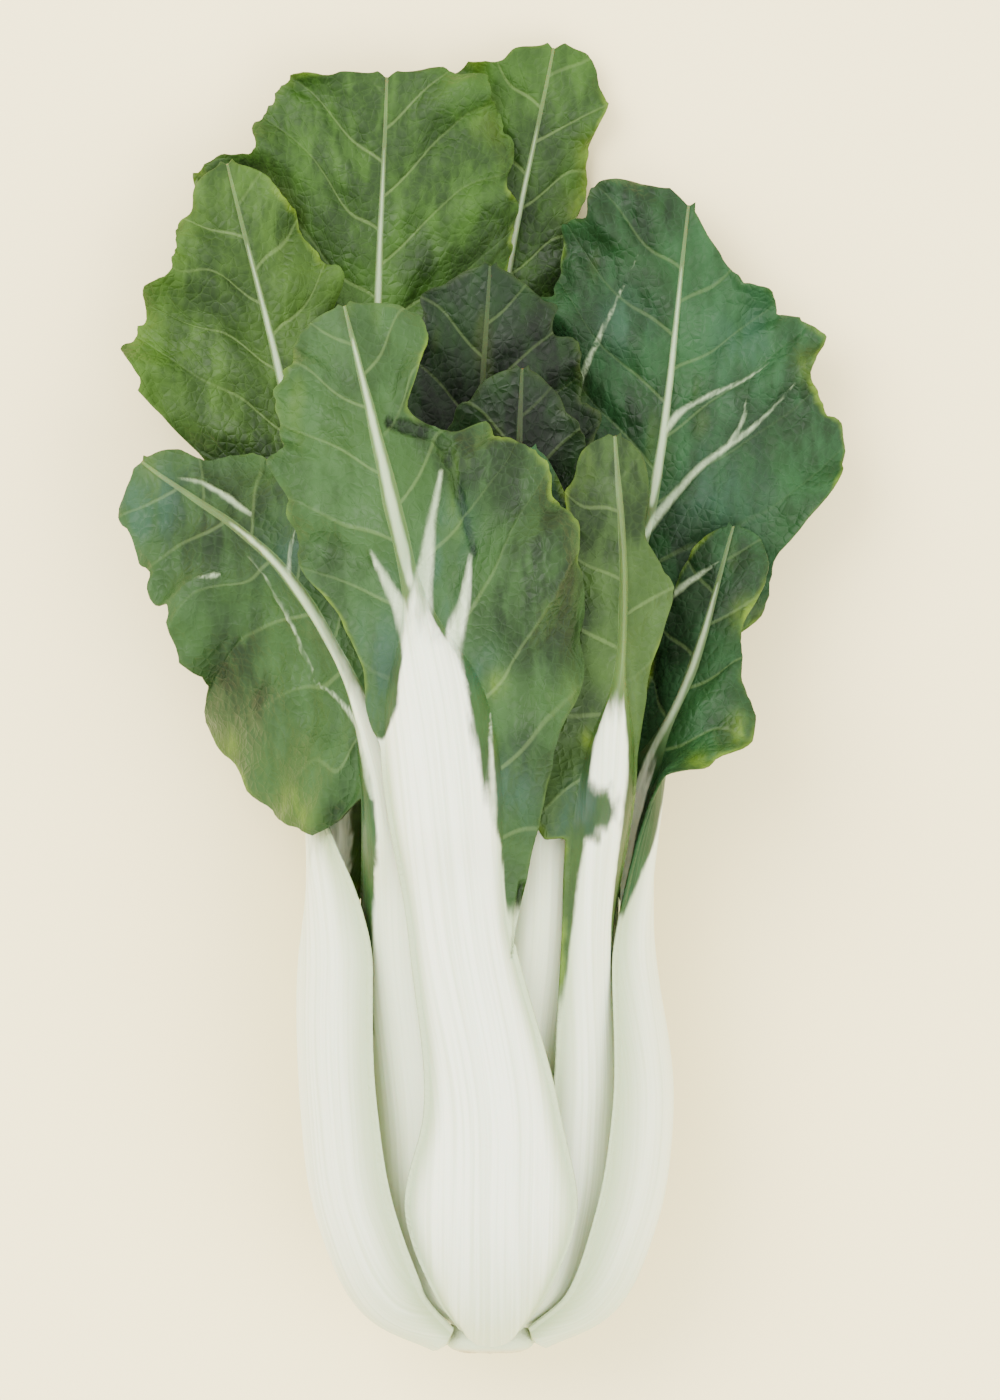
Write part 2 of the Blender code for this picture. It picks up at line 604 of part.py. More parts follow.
def main():
    for thing in list(bpy.data.objects):
        bpy.data.objects.remove(thing)
    white = plant_material("stalk_white", (0.80, 0.84, 0.73), 0.35)
    green = plant_material("blade_green", (0.10, 0.21, 0.055), 0.45)
    butt = plant_material("cut_butt", (0.70, 0.72, 0.52), 0.7)
    build_core(butt)
    pile = Pile()
    for leaf in LEAVES:
        build_leaf(leaf, pile, white, green)


main()
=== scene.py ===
"""A head of bok choy, lying on its side as picked, seen from straight above.

Each leaf is one fine curved sheet from its root to its tip, thick along the stalk and midrib and
thin in the blade. It grows from the same marked points as the frame's solids, in millimetres, and
its veins, quilting and ruffled margin are shaped on it. The leaves are laid from the lowest up.
"""

from dataclasses import dataclass

import bpy
import numpy as np
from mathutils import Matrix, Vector


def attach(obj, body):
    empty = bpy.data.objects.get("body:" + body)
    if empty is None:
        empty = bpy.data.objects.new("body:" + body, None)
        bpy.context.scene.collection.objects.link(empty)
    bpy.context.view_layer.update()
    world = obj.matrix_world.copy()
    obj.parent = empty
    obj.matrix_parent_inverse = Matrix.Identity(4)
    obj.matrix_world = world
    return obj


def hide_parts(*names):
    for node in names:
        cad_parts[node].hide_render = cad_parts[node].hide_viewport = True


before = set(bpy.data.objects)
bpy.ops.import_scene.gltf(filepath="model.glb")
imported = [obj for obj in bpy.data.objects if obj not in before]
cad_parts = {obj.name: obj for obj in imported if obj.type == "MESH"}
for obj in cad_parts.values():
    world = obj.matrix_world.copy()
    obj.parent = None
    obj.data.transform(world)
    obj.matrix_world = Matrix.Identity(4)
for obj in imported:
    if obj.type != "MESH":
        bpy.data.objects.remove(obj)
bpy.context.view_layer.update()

MM = 0.001

# The view: straight down on a field of 250 x 350 mm, from far enough to show little perspective
VIEW_CENTRE = Vector((0.0025, 0.1075, 0.036))
VIEW_HEIGHT = 0.35
VIEW_DISTANCE = 3.0
SENSOR = 36.0

# The head as a whole, as its solids have it
AXIS_HEIGHT = 37.2
SAG = 0.88
BELLY_Y = 5.0
BUTT_Y = -55.5
CORE_TOP_Y = -35.0
CORE_RADIUS = 13.0
CORE_TIP_RADIUS = 2.4
CORE_ROUNDING = (6.4, 3.3, 1.1)
CORE_GAP = 0.5
ROOT_THICK = 0.7
RIB_ENDS = (0.31, 0.17, 0.07)
RIB_LEAST = 0.7
RIB_DEPTHS = (4.6, 2.8, 1.4)
RIB_SHARE = 0.8
VEIN_PITCH = 17.0
QUILT = 1.6
WAVE_LENGTH = 30.0
SCALLOP = 1.2
OVERRUN = 60.0

# The leaf's skin
SHEET = 0.7  # thickness of a blade
STALK_EDGE = 1.0  # thickness of a stalk at its edges
WING = 1.3  # width of the thin wing along the stalk below the blade
STALK_COLUMNS = 22
COLUMN_PITCH = 1.15  # across the blade
STALK_PITCH, BLADE_PITCH, BASE_PITCH = 2.4, 1.1, 0.45  # between rows, the last at the blade's ends
VEIN_HEIGHT = 0.45  # of a side vein at the midrib
VEIN_WIDTHS = (1.15, 0.45)  # half width of a side vein at the midrib and far out
BLISTER = 0.42  # how far the skin swells between the small veins
CURL = 2.2  # how far the margin rolls over
NICK = 0.8  # how far the margin's small uneven bites go in
SPOT_STRETCH = 1.3  # how much longer than wide a soft tint is
# How strongly painted shade darkens the creases
FOLD_SHADE = 2.0

# How the blades lie on each other
CELL = 2.0
LAY_GAP = 1.6
LAY_REACH = 4
LAY_FROM, LAY_FULL = 56.0, 78.0
FIELD_LOW = np.array([-120.0, -80.0])
FIELD_SIZE = (120, 190)


@dataclass
class Leaf:
    """One leaf. Points are (x, y, z) on the middle of its stalk and midrib, as the head lies."""

    name: str
    azimuth: float
    girth: float
    waist: tuple
    collar: tuple
    crown: tuple
    tip: tuple
    facing: tuple
    half: tuple
    thick: tuple
    left: tuple
    right: tuple
    left_sweep: tuple = (0.3, 0.8)
    right_sweep: tuple = (0.3, 0.8)
    droop: tuple = (0.12, 0.006)
    ruffle: float = 3.0
    phase: float = 0.0
    tone: str = "bright"
    white: tuple = (-0.12, 0.22)  # share of the blade's length where its midrib starts and ends greening
    fan: float = 1.6  # width of the white beside the stalk at the collar
    strip: tuple = (16, 16)  # how far the green runs down the stalk's left and right edges
    white_to: tuple = ((), ())  # how far across its left and right half a stalk is white: (y, share)
    pale_rib: tuple = ()  # the midrib's pale line: half width at its base, and the y it runs between
    even: float = 1.0  # how plainly the evenly spaced side veins show beside the strong ones
    shade: float = 0.25  # how greenish and greyed the white of its stalk is: partly its own greener tone, partly painted shade on stalks that lie in shadow
    veins: tuple = ()  # strong veins: half width at the base, then (x, y) from base to tip
    folds: tuple = ()  # creases, given as the veins are, sunk into the sheet and darkened with painted shade
    spots: tuple = ()  # soft tints, and green over the white of a stalk: kind, x, y and reach; the dark ones are partly painted shade, where leaves lie under others and in the heart, and partly darker patches of the green


LEAVES = (
    Leaf("back_tall", 270, 40, (2, 48, 4.2), (3, 108, 4.2), (1, 190, 4), (16, 272, 8), (270, 270),
         (8.2, 16.5, 22, 24, 16, 10), (8, 7),
         ((-8, 96), (-15, 120), (-26, 155), (-35, 195), (-38, 230), (-33, 254), (-20, 263), (-4, 266),
          (8, 272)),
         ((12, 96), (17, 125), (24, 160), (27, 200), (22, 228), (25, 246), (28, 262), (24, 271)),
         droop=(-0.02, 0.0), ruffle=3.6, phase=0.4, tone="bright",
         white=(-0.3, 0.1), even=0.5,
         pale_rib=(0.5, 205, 252),
         spots=(("dark", 15, 207, 12), ("dark", 22, 218, 8), ("dark", 4, 200, 13), ("dark", 14, 250, 7),
                ("yellow", 26, 244, 4), ("yellow", 22, 232, 4), ("dark", -2, 190, 14),
                ("dark", 10, 190, 14), ("dark", 18, 196, 12), ("dark", 10, 228, 8))),
    Leaf("back", 224, 31, (-24, 48, 16), (-19, 104, 13), (-28, 182, 14), (-26, 264, 16), (256, 268),
         (6.6, 12, 15, 17, 13, 9), (7, 6.5),
         ((-28, 94), (-37, 122), (-52, 158), (-66, 195), (-73, 222), (-73, 239), (-66, 245),
          (-60, 245), (-57, 256), (-49, 264), (-38, 266)),
         ((-12, 94), (-6, 125), (0, 160), (4, 200), (5, 235), (2, 258), (-10, 267)),
         droop=(-0.06, -0.003), ruffle=3.8, phase=1.7, tone="bright",
         white=(-0.3, 0.1), even=0.5,
         pale_rib=(0.45, 200, 246),
         spots=(("pale", -22, 192, 12), ("dark", 0, 192, 12), ("yellow", -57, 231, 5),
                ("yellow", -12, 199, 4), ("dark", -60, 240, 7), ("dark", -45, 205, 8),
                ("dark", -14, 214, 8), ("dark", -36, 228, 6))),
    Leaf("left_back", 165, 43.5, (-43, 48, 41), (-39, 92, 30), (-48, 166, 20), (-66, 242, 14), (230, 264),
         (9, 21, 26, 25, 23, 10.6), (8, 6.5),
         ((-47, 96), (-56, 122), (-62, 146), (-67, 164), (-73, 174), (-82, 176), (-90, 177), (-91, 188),
          (-88, 202), (-82, 216), (-76, 228), (-72, 239)),
         ((-32, 96), (-27, 125), (-26, 155), (-30, 185), (-38, 208), (-48, 227), (-58, 240)),
         droop=(-0.045, -0.0045), ruffle=3.8, phase=2.9, tone="olive",
         strip=(16, 24), white_to=((), ((40, 1.0), (62, 0.7), (80, 0.3))),
         white=(-0.3, 0.1), even=0.5,
         pale_rib=(0.6, 178, 222),
         spots=(("dark", -52, 170, 14), ("dark", -44, 196, 9), ("dark", -66, 171, 8),
                ("pale", -78, 190, 8), ("dark", -70, 210, 7))),
    Leaf("right_back", 318, 31, (25, 48, 17), (27, 98, 19), (41, 158, 21), (50, 232, 17), (296, 275),
         (6.6, 12, 15, 17, 13, 8), (7, 6),
         ((20, 94), (14, 125), (11, 155), (12, 190), (16, 214), (22, 229), (32, 238), (42, 237)),
         ((35, 92), (48, 112), (62, 124), (70, 136), (72, 146), (84, 156), (90, 166), (89, 174),
          (81, 183), (84, 195), (75, 205), (63, 213), (54, 225)),
         droop=(-0.07, -0.004), ruffle=3.8, phase=4.2, tone="dark", even=0.3,
         white=(-0.3, 0.1), shade=0.5,
         veins=((0.6, (19, 176), (20.8, 182), (26.3, 196), (32.8, 210), (37.5, 220)),
                (0.6, (43.5, 174), (47.5, 179.5), (54, 183.5), (64, 188), (72.5, 194)),
                (0.9, (38.5, 148), (45.8, 158.3), (52.3, 165.5), (66, 176), (77.5, 188)),
                (0.35, (59.5, 171), (63.5, 178), (64.5, 187))),
         pale_rib=(0.8, 158, 216),
         spots=(("dark", 14, 186, 11), ("dark", 14, 168, 7), ("dark", 24, 172, 5), ("dark", 36, 182, 8),
                ("blue", 58, 160, 10), ("blue", 64, 198, 9), ("yellow", 81, 192, 3), ("dark", 28, 205, 6),
                ("pale", 26, 190, 7), ("blue", 34, 203, 6), ("dark", 46, 148, 9), ("dark", 34, 232, 8),
                ("dark", 42, 230, 6), ("dark", 66, 168, 8), ("dark", 30, 156, 9))),
    Leaf("heart_low", 250, 20.5, (-4, 48, 27), (-6, 90, 27), (-4, 150, 30), (0, 216, 34), (265, 270),
         (4.8, 8, 10.5, 13, 9, 5.5), (5.5, 4.5),
         ((-12, 84), (-24, 115), (-30, 150), (-27, 185), (-15, 208)),
         ((0, 84), (14, 115), (24, 150), (24, 185), (12, 208)),
         droop=(-0.1, -0.004), ruffle=2.6, phase=5.1, tone="shaded_heart", white=(-0.4, 0.0), even=0.35,
         spots=(("dark", 4, 186, 12), ("dark", 6, 170, 10))),
    Leaf("heart_high", 100, 11.5, (0, 48, 44), (2, 86, 42), (6, 140, 44), (8, 190, 48), (95, 92),
         (3, 5, 7, 9, 7, 4.5), (4.5, 4),
         ((-4, 80), (-12, 110), (-16, 140), (-12, 170), (-2, 186)),
         ((8, 80), (18, 110), (26, 140), (24, 168), (16, 184)),
         ruffle=2.0, phase=0.9, tone="shaded_heart", white=(-0.4, 0.0), even=0.35,
         spots=(("dark", 8, 176, 10), ("dark", 12, 165, 9))),
    Leaf("right_side", 12, 42, (37, 48, 41.5), (38, 84, 38), (51, 116, 34), (61, 151, 27), (326, 290),
         (8.5, 17.5, 22.5, 21.5, 14, 10), (8, 6.5),
         ((32, 84), (36, 100), (40, 116), (46, 134), (54, 148)),
         ((44, 80), (51, 86), (52, 91), (61, 98), (65, 106), (62, 118), (64, 130), (68, 137), (68, 147)),
         droop=(-0.04, -0.004), ruffle=2.4, phase=3.3, tone="dark", even=0.4,
         veins=((0.8, (43.5, 132), (48, 135.5), (52, 138.5), (57.5, 142)),),
         pale_rib=(1.3, 86, 136),
         strip=(20, 30), shade=0.45, white_to=(((30, 1.0), (50, 0.55), (66, 0.05)), ((50, 1.0), (72, 0.5))),
         spots=(("yellow", 62, 100, 3), ("yellow", 52, 90, 3), ("yellow", 64, 128, 3), ("dark", 46, 122, 8),
                ("pale", 58, 112, 8), ("dark", 58, 136, 6))),
    Leaf("left_front", 127, 30.5, (-23, 48, 58.5), (-25.3, 86, 58.6), (-49, 137, 56), (-87, 167, 34),
         (118, 110), (6.2, 11.5, 15, 17, 13, 8.6), (7, 6),
         ((-34, 83), (-36, 76), (-41, 74.5), (-50, 76), (-57, 84), (-64, 92), (-71, 100), (-73, 110),
          (-78, 122), (-84, 136), (-90, 148), (-91, 160)),
         ((-20, 86), (-17, 110), (-21, 135), (-32, 156), (-47, 168), (-60, 169), (-71, 167), (-80, 170)),
         left_sweep=(-0.8, 0.4), droop=(0.16, 0.008), ruffle=3.0, phase=1.2, tone="middle",
         white=(0.02, 0.4), strip=(56, 14),
         white_to=(((6, 1.0), (26, 0.5), (48, 0.34), (72, 0.12), (88, 0.1), (104, 0.3)), ()),
         even=0.35, shade=0.75, pale_rib=(2.0, 84, 150),
         veins=((0.3, (-49.6, 138), (-49.6, 143), (-48.5, 148), (-45.8, 154)),
                (0.9, (-26.5, 84), (-32, 101), (-36.5, 107), (-47.3, 115)),
                (0.3, (-44, 115), (-52, 132), (-57, 140), (-62.5, 146)),
                (0.6, (-59.5, 153.5), (-66, 158), (-71, 161), (-82.5, 163.5)),
                (0.45, (-67.5, 138.5), (-74, 137.5))),
         spots=(("dark", -62, 124, 7), ("dark", -50, 152, 10), ("dark", -70, 150, 11),
                ("yellow", -48, 80, 4),
                ("blue", -84, 158, 8), ("dark", -76, 156, 7), ("dark", -40, 160, 8), ("blue", -50, 146, 6),
                ("yellow", -66, 96, 3), ("blue", -87, 154, 5), ("pale", -46, 122, 7),
                ("dark", -66, 112, 5), ("blue", -29, 76, 6),
                ("dark", -58, 108, 5), ("dark", -36, 80, 5), ("pale", -30, 110, 5))),
    Leaf("centre_right", 66, 20.5, (13, 48, 58), (14.5, 88, 58), (14, 130, 56), (10, 170, 52), (80, 90),
         (4.8, 8, 10.5, 13, 9, 5.5), (5.5, 4.5),
         ((9, 84), (4, 110), (-2, 140), (0, 160)),
         ((21, 84), (27, 105), (26, 130), (20, 155)),
         ruffle=2.0, phase=2.2, tone="dark", strip=(10, 60), shade=0.8),
    Leaf("right_front", 36, 31.5, (25.5, 48, 57), (30.5, 96, 60), (33, 136, 64), (31, 173, 58), (72, 86),
         (6.2, 11, 13, 12.5, 9, 6), (7, 5),
         ((29, 74), (24, 71), (15, 72), (11, 80), (12, 90), (17, 99), (19, 112), (20, 140), (20, 160),
          (24, 170)),
         ((36, 92), (38, 105), (40, 117), (44, 126), (45, 133), (42, 141), (38, 148), (39, 158),
          (38, 167)),
         left_sweep=(-1.0, 0.6), droop=(0.12, 0.006), ruffle=2.0, phase=4.9, tone="light",
         white=(0.0, 0.26), strip=(72, 72), even=0.4, shade=0.4,
         white_to=(((24, 1.0), (44, 0.85), (70, 0.62), (88, 0.6), (98, 0.7)),
                   ((10, 1.0), (30, 0.5), (56, 0.32), (76, 0.28), (96, 0.3), (110, 0.2))),
         spots=(("green", 21.5, 80.5, 8.5), ("blue", 21, 80, 7), ("dark", 22, 80, 9),
                ("pale", 27, 120, 3), ("dark", 24, 150, 10), ("dark", 30, 166, 10), ("dark", 36, 154, 8),
                ("dark", 24, 104, 5), ("dark", 22, 128, 6), ("pale", 34, 134, 6), ("yellow", 24, 98, 2))),
    Leaf("front", 89.5, 40, (-7, 48, 72), (-14, 110, 71), (-25, 160, 74), (-36, 205, 62), (92, 98),
         (7, 12.5, 21, 15.8, 11.7, 12), (8.5, 8),
         ((-27, 96), (-30, 104), (-31, 116), (-38, 128), (-46, 142), (-51, 158), (-52, 176),
          (-49, 192), (-43, 202)),
         ((4.5, 42), (8, 58), (10, 70), (14, 86), (19, 104), (23, 118), (23, 134), (20, 150),
          (14, 164), (4, 173), (-8, 175), (-18, 176), (-22, 182), (-17, 190), (-13, 198), (-24, 205)),
         droop=(0.14, 0.007), ruffle=3.0, phase=5.8, tone="middle",
         white=(0.02, 0.3), fan=2.4, strip=(20, 68), even=0.4, shade=0.1,
         white_to=(((98, 1.0), (103, 0.72), (108, 0.56), (118, 0.55), (130, 0.7)),
                   ((56, 1.0), (70, 0.86), (80, 0.56), (90, 0.44), (99, 0.38), (107, 0.46), (116, 0.62))),
         veins=((2.0, (-18, 119), (-22, 130), (-26, 138), (-29.5, 145)),
                (2.6, (-16.5, 112), (-17.6, 127), (-15.9, 141), (-14.2, 153), (-12, 164)),
                (2.2, (-11.5, 110), (-9.3, 122), (-6.5, 132), (-4.7, 144)),
                (0.8, (0.2, 76), (-0.4, 88), (-0.8, 96), (-0.4, 104))),
         pale_rib=(1.1, 138, 196),
         folds=((1.1, (-24.5, 176), (-19, 174.5), (-12.5, 172), (-9.5, 165), (-6.5, 154), (-3.8, 144)),
                (0.4, (8, 62), (6.8, 54), (5.2, 44))),
         spots=(("yellow", 1.2, 111, 2.5), ("yellow", -20, 130, 2), ("yellow", -7.5, 128, 2),
                ("blue", -26, 108, 6), ("blue", -27, 122, 6), ("dark", 14, 122, 9), ("pale", -40, 172, 12),
                ("pale", -36, 134, 8), ("dark", 8, 92, 7), ("blue", -14, 137, 5), ("dark", 12, 148, 8),
                ("pale", -30, 190, 8), ("blue", -4, 117, 5), ("blue", -21, 141, 4), ("blue", -9, 130, 3),
                ("dark", 18, 134, 7), ("blue", 4, 84, 7), ("dark", -40, 140, 6), ("blue", -10, 150, 6),
                ("dark", 2, 168, 8), ("dark", 12, 158, 9), ("dark", -14, 178, 7), ("dark", -26, 114, 5),
                ("dark", 4, 130, 6), ("dark", -8, 166, 6))),
)


def through(x, xs, ys):
    """The smooth curve through (xs, ys), read at x. ys may be numbers or points."""
    xs, ys = np.asarray(xs, float), np.asarray(ys, float)
    steps = np.diff(xs)
    slopes = (np.diff(ys, axis=0).T / steps).T
    inner = ((slopes[:-1].T * steps[1:] + slopes[1:].T * steps[:-1]) / (steps[:-1] + steps[1:])).T
    tangents = np.concatenate([slopes[:1], inner, slopes[-1:]])
    x = np.clip(x, xs[0], xs[-1])
    i = np.clip(np.searchsorted(xs, x, side="right") - 1, 0, len(steps) - 1)
    h, t = steps[i], (x - xs[i]) / steps[i]
    if ys.ndim > 1:
        h, t = h[..., None], t[..., None]
    return (
        (1 + 2 * t) * (1 - t) ** 2 * ys[i]
        + t * (1 - t) ** 2 * h * tangents[i]
        + t * t * (3 - 2 * t) * ys[i + 1]
        + t * t * (t - 1) * h * tangents[i + 1]
    )


def ease(low, high, x):
    t = np.clip((x - low) / (high - low), 0, 1)
    return t * t * (3 - 2 * t)


def unit(v):
    return v / np.maximum(np.linalg.norm(v, axis=-1, keepdims=True), 1e-9)


def sagged(points):
    """The round head's points as it lies under its own weight."""
    points = np.array(points, float)
    points[..., 2] = AXIS_HEIGHT + SAG * (points[..., 2] - AXIS_HEIGHT)
    return points


def core_radius(y):
    """The core tapers from its cut butt up into the heart."""
    share = np.clip((y - BUTT_Y) / (CORE_TOP_Y - BUTT_Y), 0, 1)
    return CORE_RADIUS + (CORE_TIP_RADIUS - CORE_RADIUS) * share**1.15


def lumps(x, y, seed):
    """Smooth random swells from -1 to 1 over a plane, about one unit apart."""
    table = np.random.default_rng(seed).uniform(-1, 1, (64, 64))
    i, j = np.floor(x).astype(int), np.floor(y).astype(int)
    u, v = x - i, y - j
    u, v = u * u * (3 - 2 * u), v * v * (3 - 2 * v)
    near = table[i % 64, j % 64] * (1 - v) + table[i % 64, (j + 1) % 64] * v
    far = table[(i + 1) % 64, j % 64] * (1 - v) + table[(i + 1) % 64, (j + 1) % 64] * v
    return near * (1 - u) + far * u


class Spine:
    """The line of a leaf's stalk and midrib, with its widths, and the directions at each point."""

    SAMPLES = 500

    def __init__(self, leaf):
        angle = np.radians(leaf.azimuth)
        outward = np.array([np.cos(angle), 0.0, np.sin(angle)])
        root_y = -51.5 + (41 - leaf.girth) * 0.45
        root_r = core_radius(root_y - leaf.thick[0] * ROOT_THICK / 2) + CORE_GAP
        bowl = [
            self.bowl_point(root_r, root_y, leaf.girth, outward, turn) for turn in (0, 30, 62, 90)
        ]
        lying = np.array([leaf.waist, leaf.collar, leaf.crown, leaf.tip], float)
        lying[:, 2] = AXIS_HEIGHT + (lying[:, 2] - AXIS_HEIGHT) / SAG
        marks = np.vstack([bowl, lying])
        chord = np.concatenate([[0], np.cumsum(np.linalg.norm(np.diff(marks, axis=0), axis=1))])
        fine = through(np.linspace(0, chord[-1], self.SAMPLES), chord, marks)
        end = fine[-1] + unit(fine[-1] - fine[-8]) * OVERRUN
        fine = np.vstack([fine, np.linspace(fine[-1], end, 60)[1:]])
        self.at = np.concatenate([[0], np.cumsum(np.linalg.norm(np.diff(fine, axis=0), axis=1))])
        self.points = fine
        whole = np.interp(chord, np.linspace(0, chord[-1], self.SAMPLES), self.at[: self.SAMPLES])
        self.belly_at, self.waist_at, self.collar_at = whole[3:6]
        self.tip_at = whole[7]
        length = self.tip_at - self.collar_at
        self.rib_end_at = self.collar_at + RIB_SHARE * length

        turned = np.interp(
            self.at,
            [self.waist_at, self.collar_at, self.tip_at],
            self.unwrapped(leaf.azimuth, *leaf.facing),
        )
        turned = self.smoothed(turned)
        across = np.stack([np.sin(turned), 0 * turned, -np.cos(turned)], axis=1)
        along = unit(np.gradient(fine, axis=0))
        across = unit(across - np.sum(across * along, axis=1, keepdims=True) * along)
        self.along, self.across, self.back = along, across, np.cross(across, along)

        stalk = [0, *whole[1:6]]
        rib = [self.collar_at + 0.2 * length, self.collar_at + 0.5 * length, self.rib_end_at]
        to_axis = [root_r] + [root_r + (leaf.girth - root_r) * share for share in (0.5, 0.88, 1)]
        rib_half = [max(share * leaf.half[5], RIB_LEAST) for share in RIB_ENDS]
        self.half = (stalk + rib + [self.tip_at], [*leaf.half, *rib_half, RIB_LEAST / 2])
        self.bend = (stalk, [*to_axis, leaf.girth * 0.86, leaf.half[5] * 1.7])
        self.thickness = (
            [0, self.belly_at, self.collar_at, *rib, self.tip_at],
            [leaf.thick[0] * ROOT_THICK, *leaf.thick, *RIB_DEPTHS, SHEET],
        )
        self.rows_from = [self.nearest(margin[0]) for margin in (leaf.left, leaf.right)]

    @staticmethod
    def bowl_point(root_r, root_y, girth, outward, turn):
        turn = np.radians(turn)
        r = root_r + (girth - root_r) * np.sin(turn)
        y = root_y + (BELLY_Y - root_y) * (1 - np.cos(turn))
        return np.array([0, y, AXIS_HEIGHT]) + outward * r

    @staticmethod
    def unwrapped(first, *rest):
        """Degrees to radians, each taken the short way round from the one before."""
        out = [first]
        for degrees in rest:
            out.append(out[-1] + (degrees - out[-1] + 180) % 360 - 180)
        return np.radians(out)

    @staticmethod
    def smoothed(values, width=41):
        padded = np.pad(values, width // 2, mode="edge")
        return np.convolve(padded, np.ones(width) / width, mode="valid")

    def nearest(self, spot):
        """How far along the leaf its line passes closest to this (x, y)."""
        past_belly = self.at > self.belly_at
        away = np.linalg.norm(self.points[past_belly][:, :2] - spot, axis=1)
        return self.at[past_belly][np.argmin(away)]

    def frame(self, at):
        """Point, across and back directions at these distances along the leaf."""
        read = [
            np.stack([np.interp(at, self.at, a[:, k]) for k in range(3)], axis=-1)
            for a in (self.points, self.across, self.back)
        ]
        return read[0], unit(read[1]), unit(read[2])

    def section(self, at):
        """Half width, bend radius and thickness of the stalk at these distances."""
        return through(at, *self.half), through(at, *self.bend), through(at, *self.thickness)

    def wall_point(self, at, q):
        """The middle of the stalk's curved wall at q across from its ridge."""
        centre, across, back = self.frame(at)
        _, bend, _ = self.section(at)
        turn = (q / bend)[..., None]
        bend = bend[..., None]
        out = np.cos(turn) * back + np.sin(turn) * across
        return centre + bend * (out - back)


def inside(points, outline):
    """Whether each point lies within the closed outline, seen from above."""
    x, y = points[..., 0, None], points[..., 1, None]
    a, b = outline, np.roll(outline, -1, axis=0)
    spans = (a[:, 1] > y) != (b[:, 1] > y)
    slope = (b[:, 0] - a[:, 0]) / np.where(b[:, 1] == a[:, 1], 1, b[:, 1] - a[:, 1])
    return (spans & (x < a[:, 0] + slope * (y - a[:, 1]))).sum(-1) % 2 == 1


def outline_of(leaf):
    """The blade's whole margin from above, rounded through its marked points."""
    marks = np.array([*leaf.left, leaf.tip[:2], *leaf.right[::-1]], float)
    chord = np.concatenate([[0], np.cumsum(np.linalg.norm(np.diff(marks, axis=0), axis=1))])
    return through(np.arange(0, chord[-1], 1.5), chord, marks)


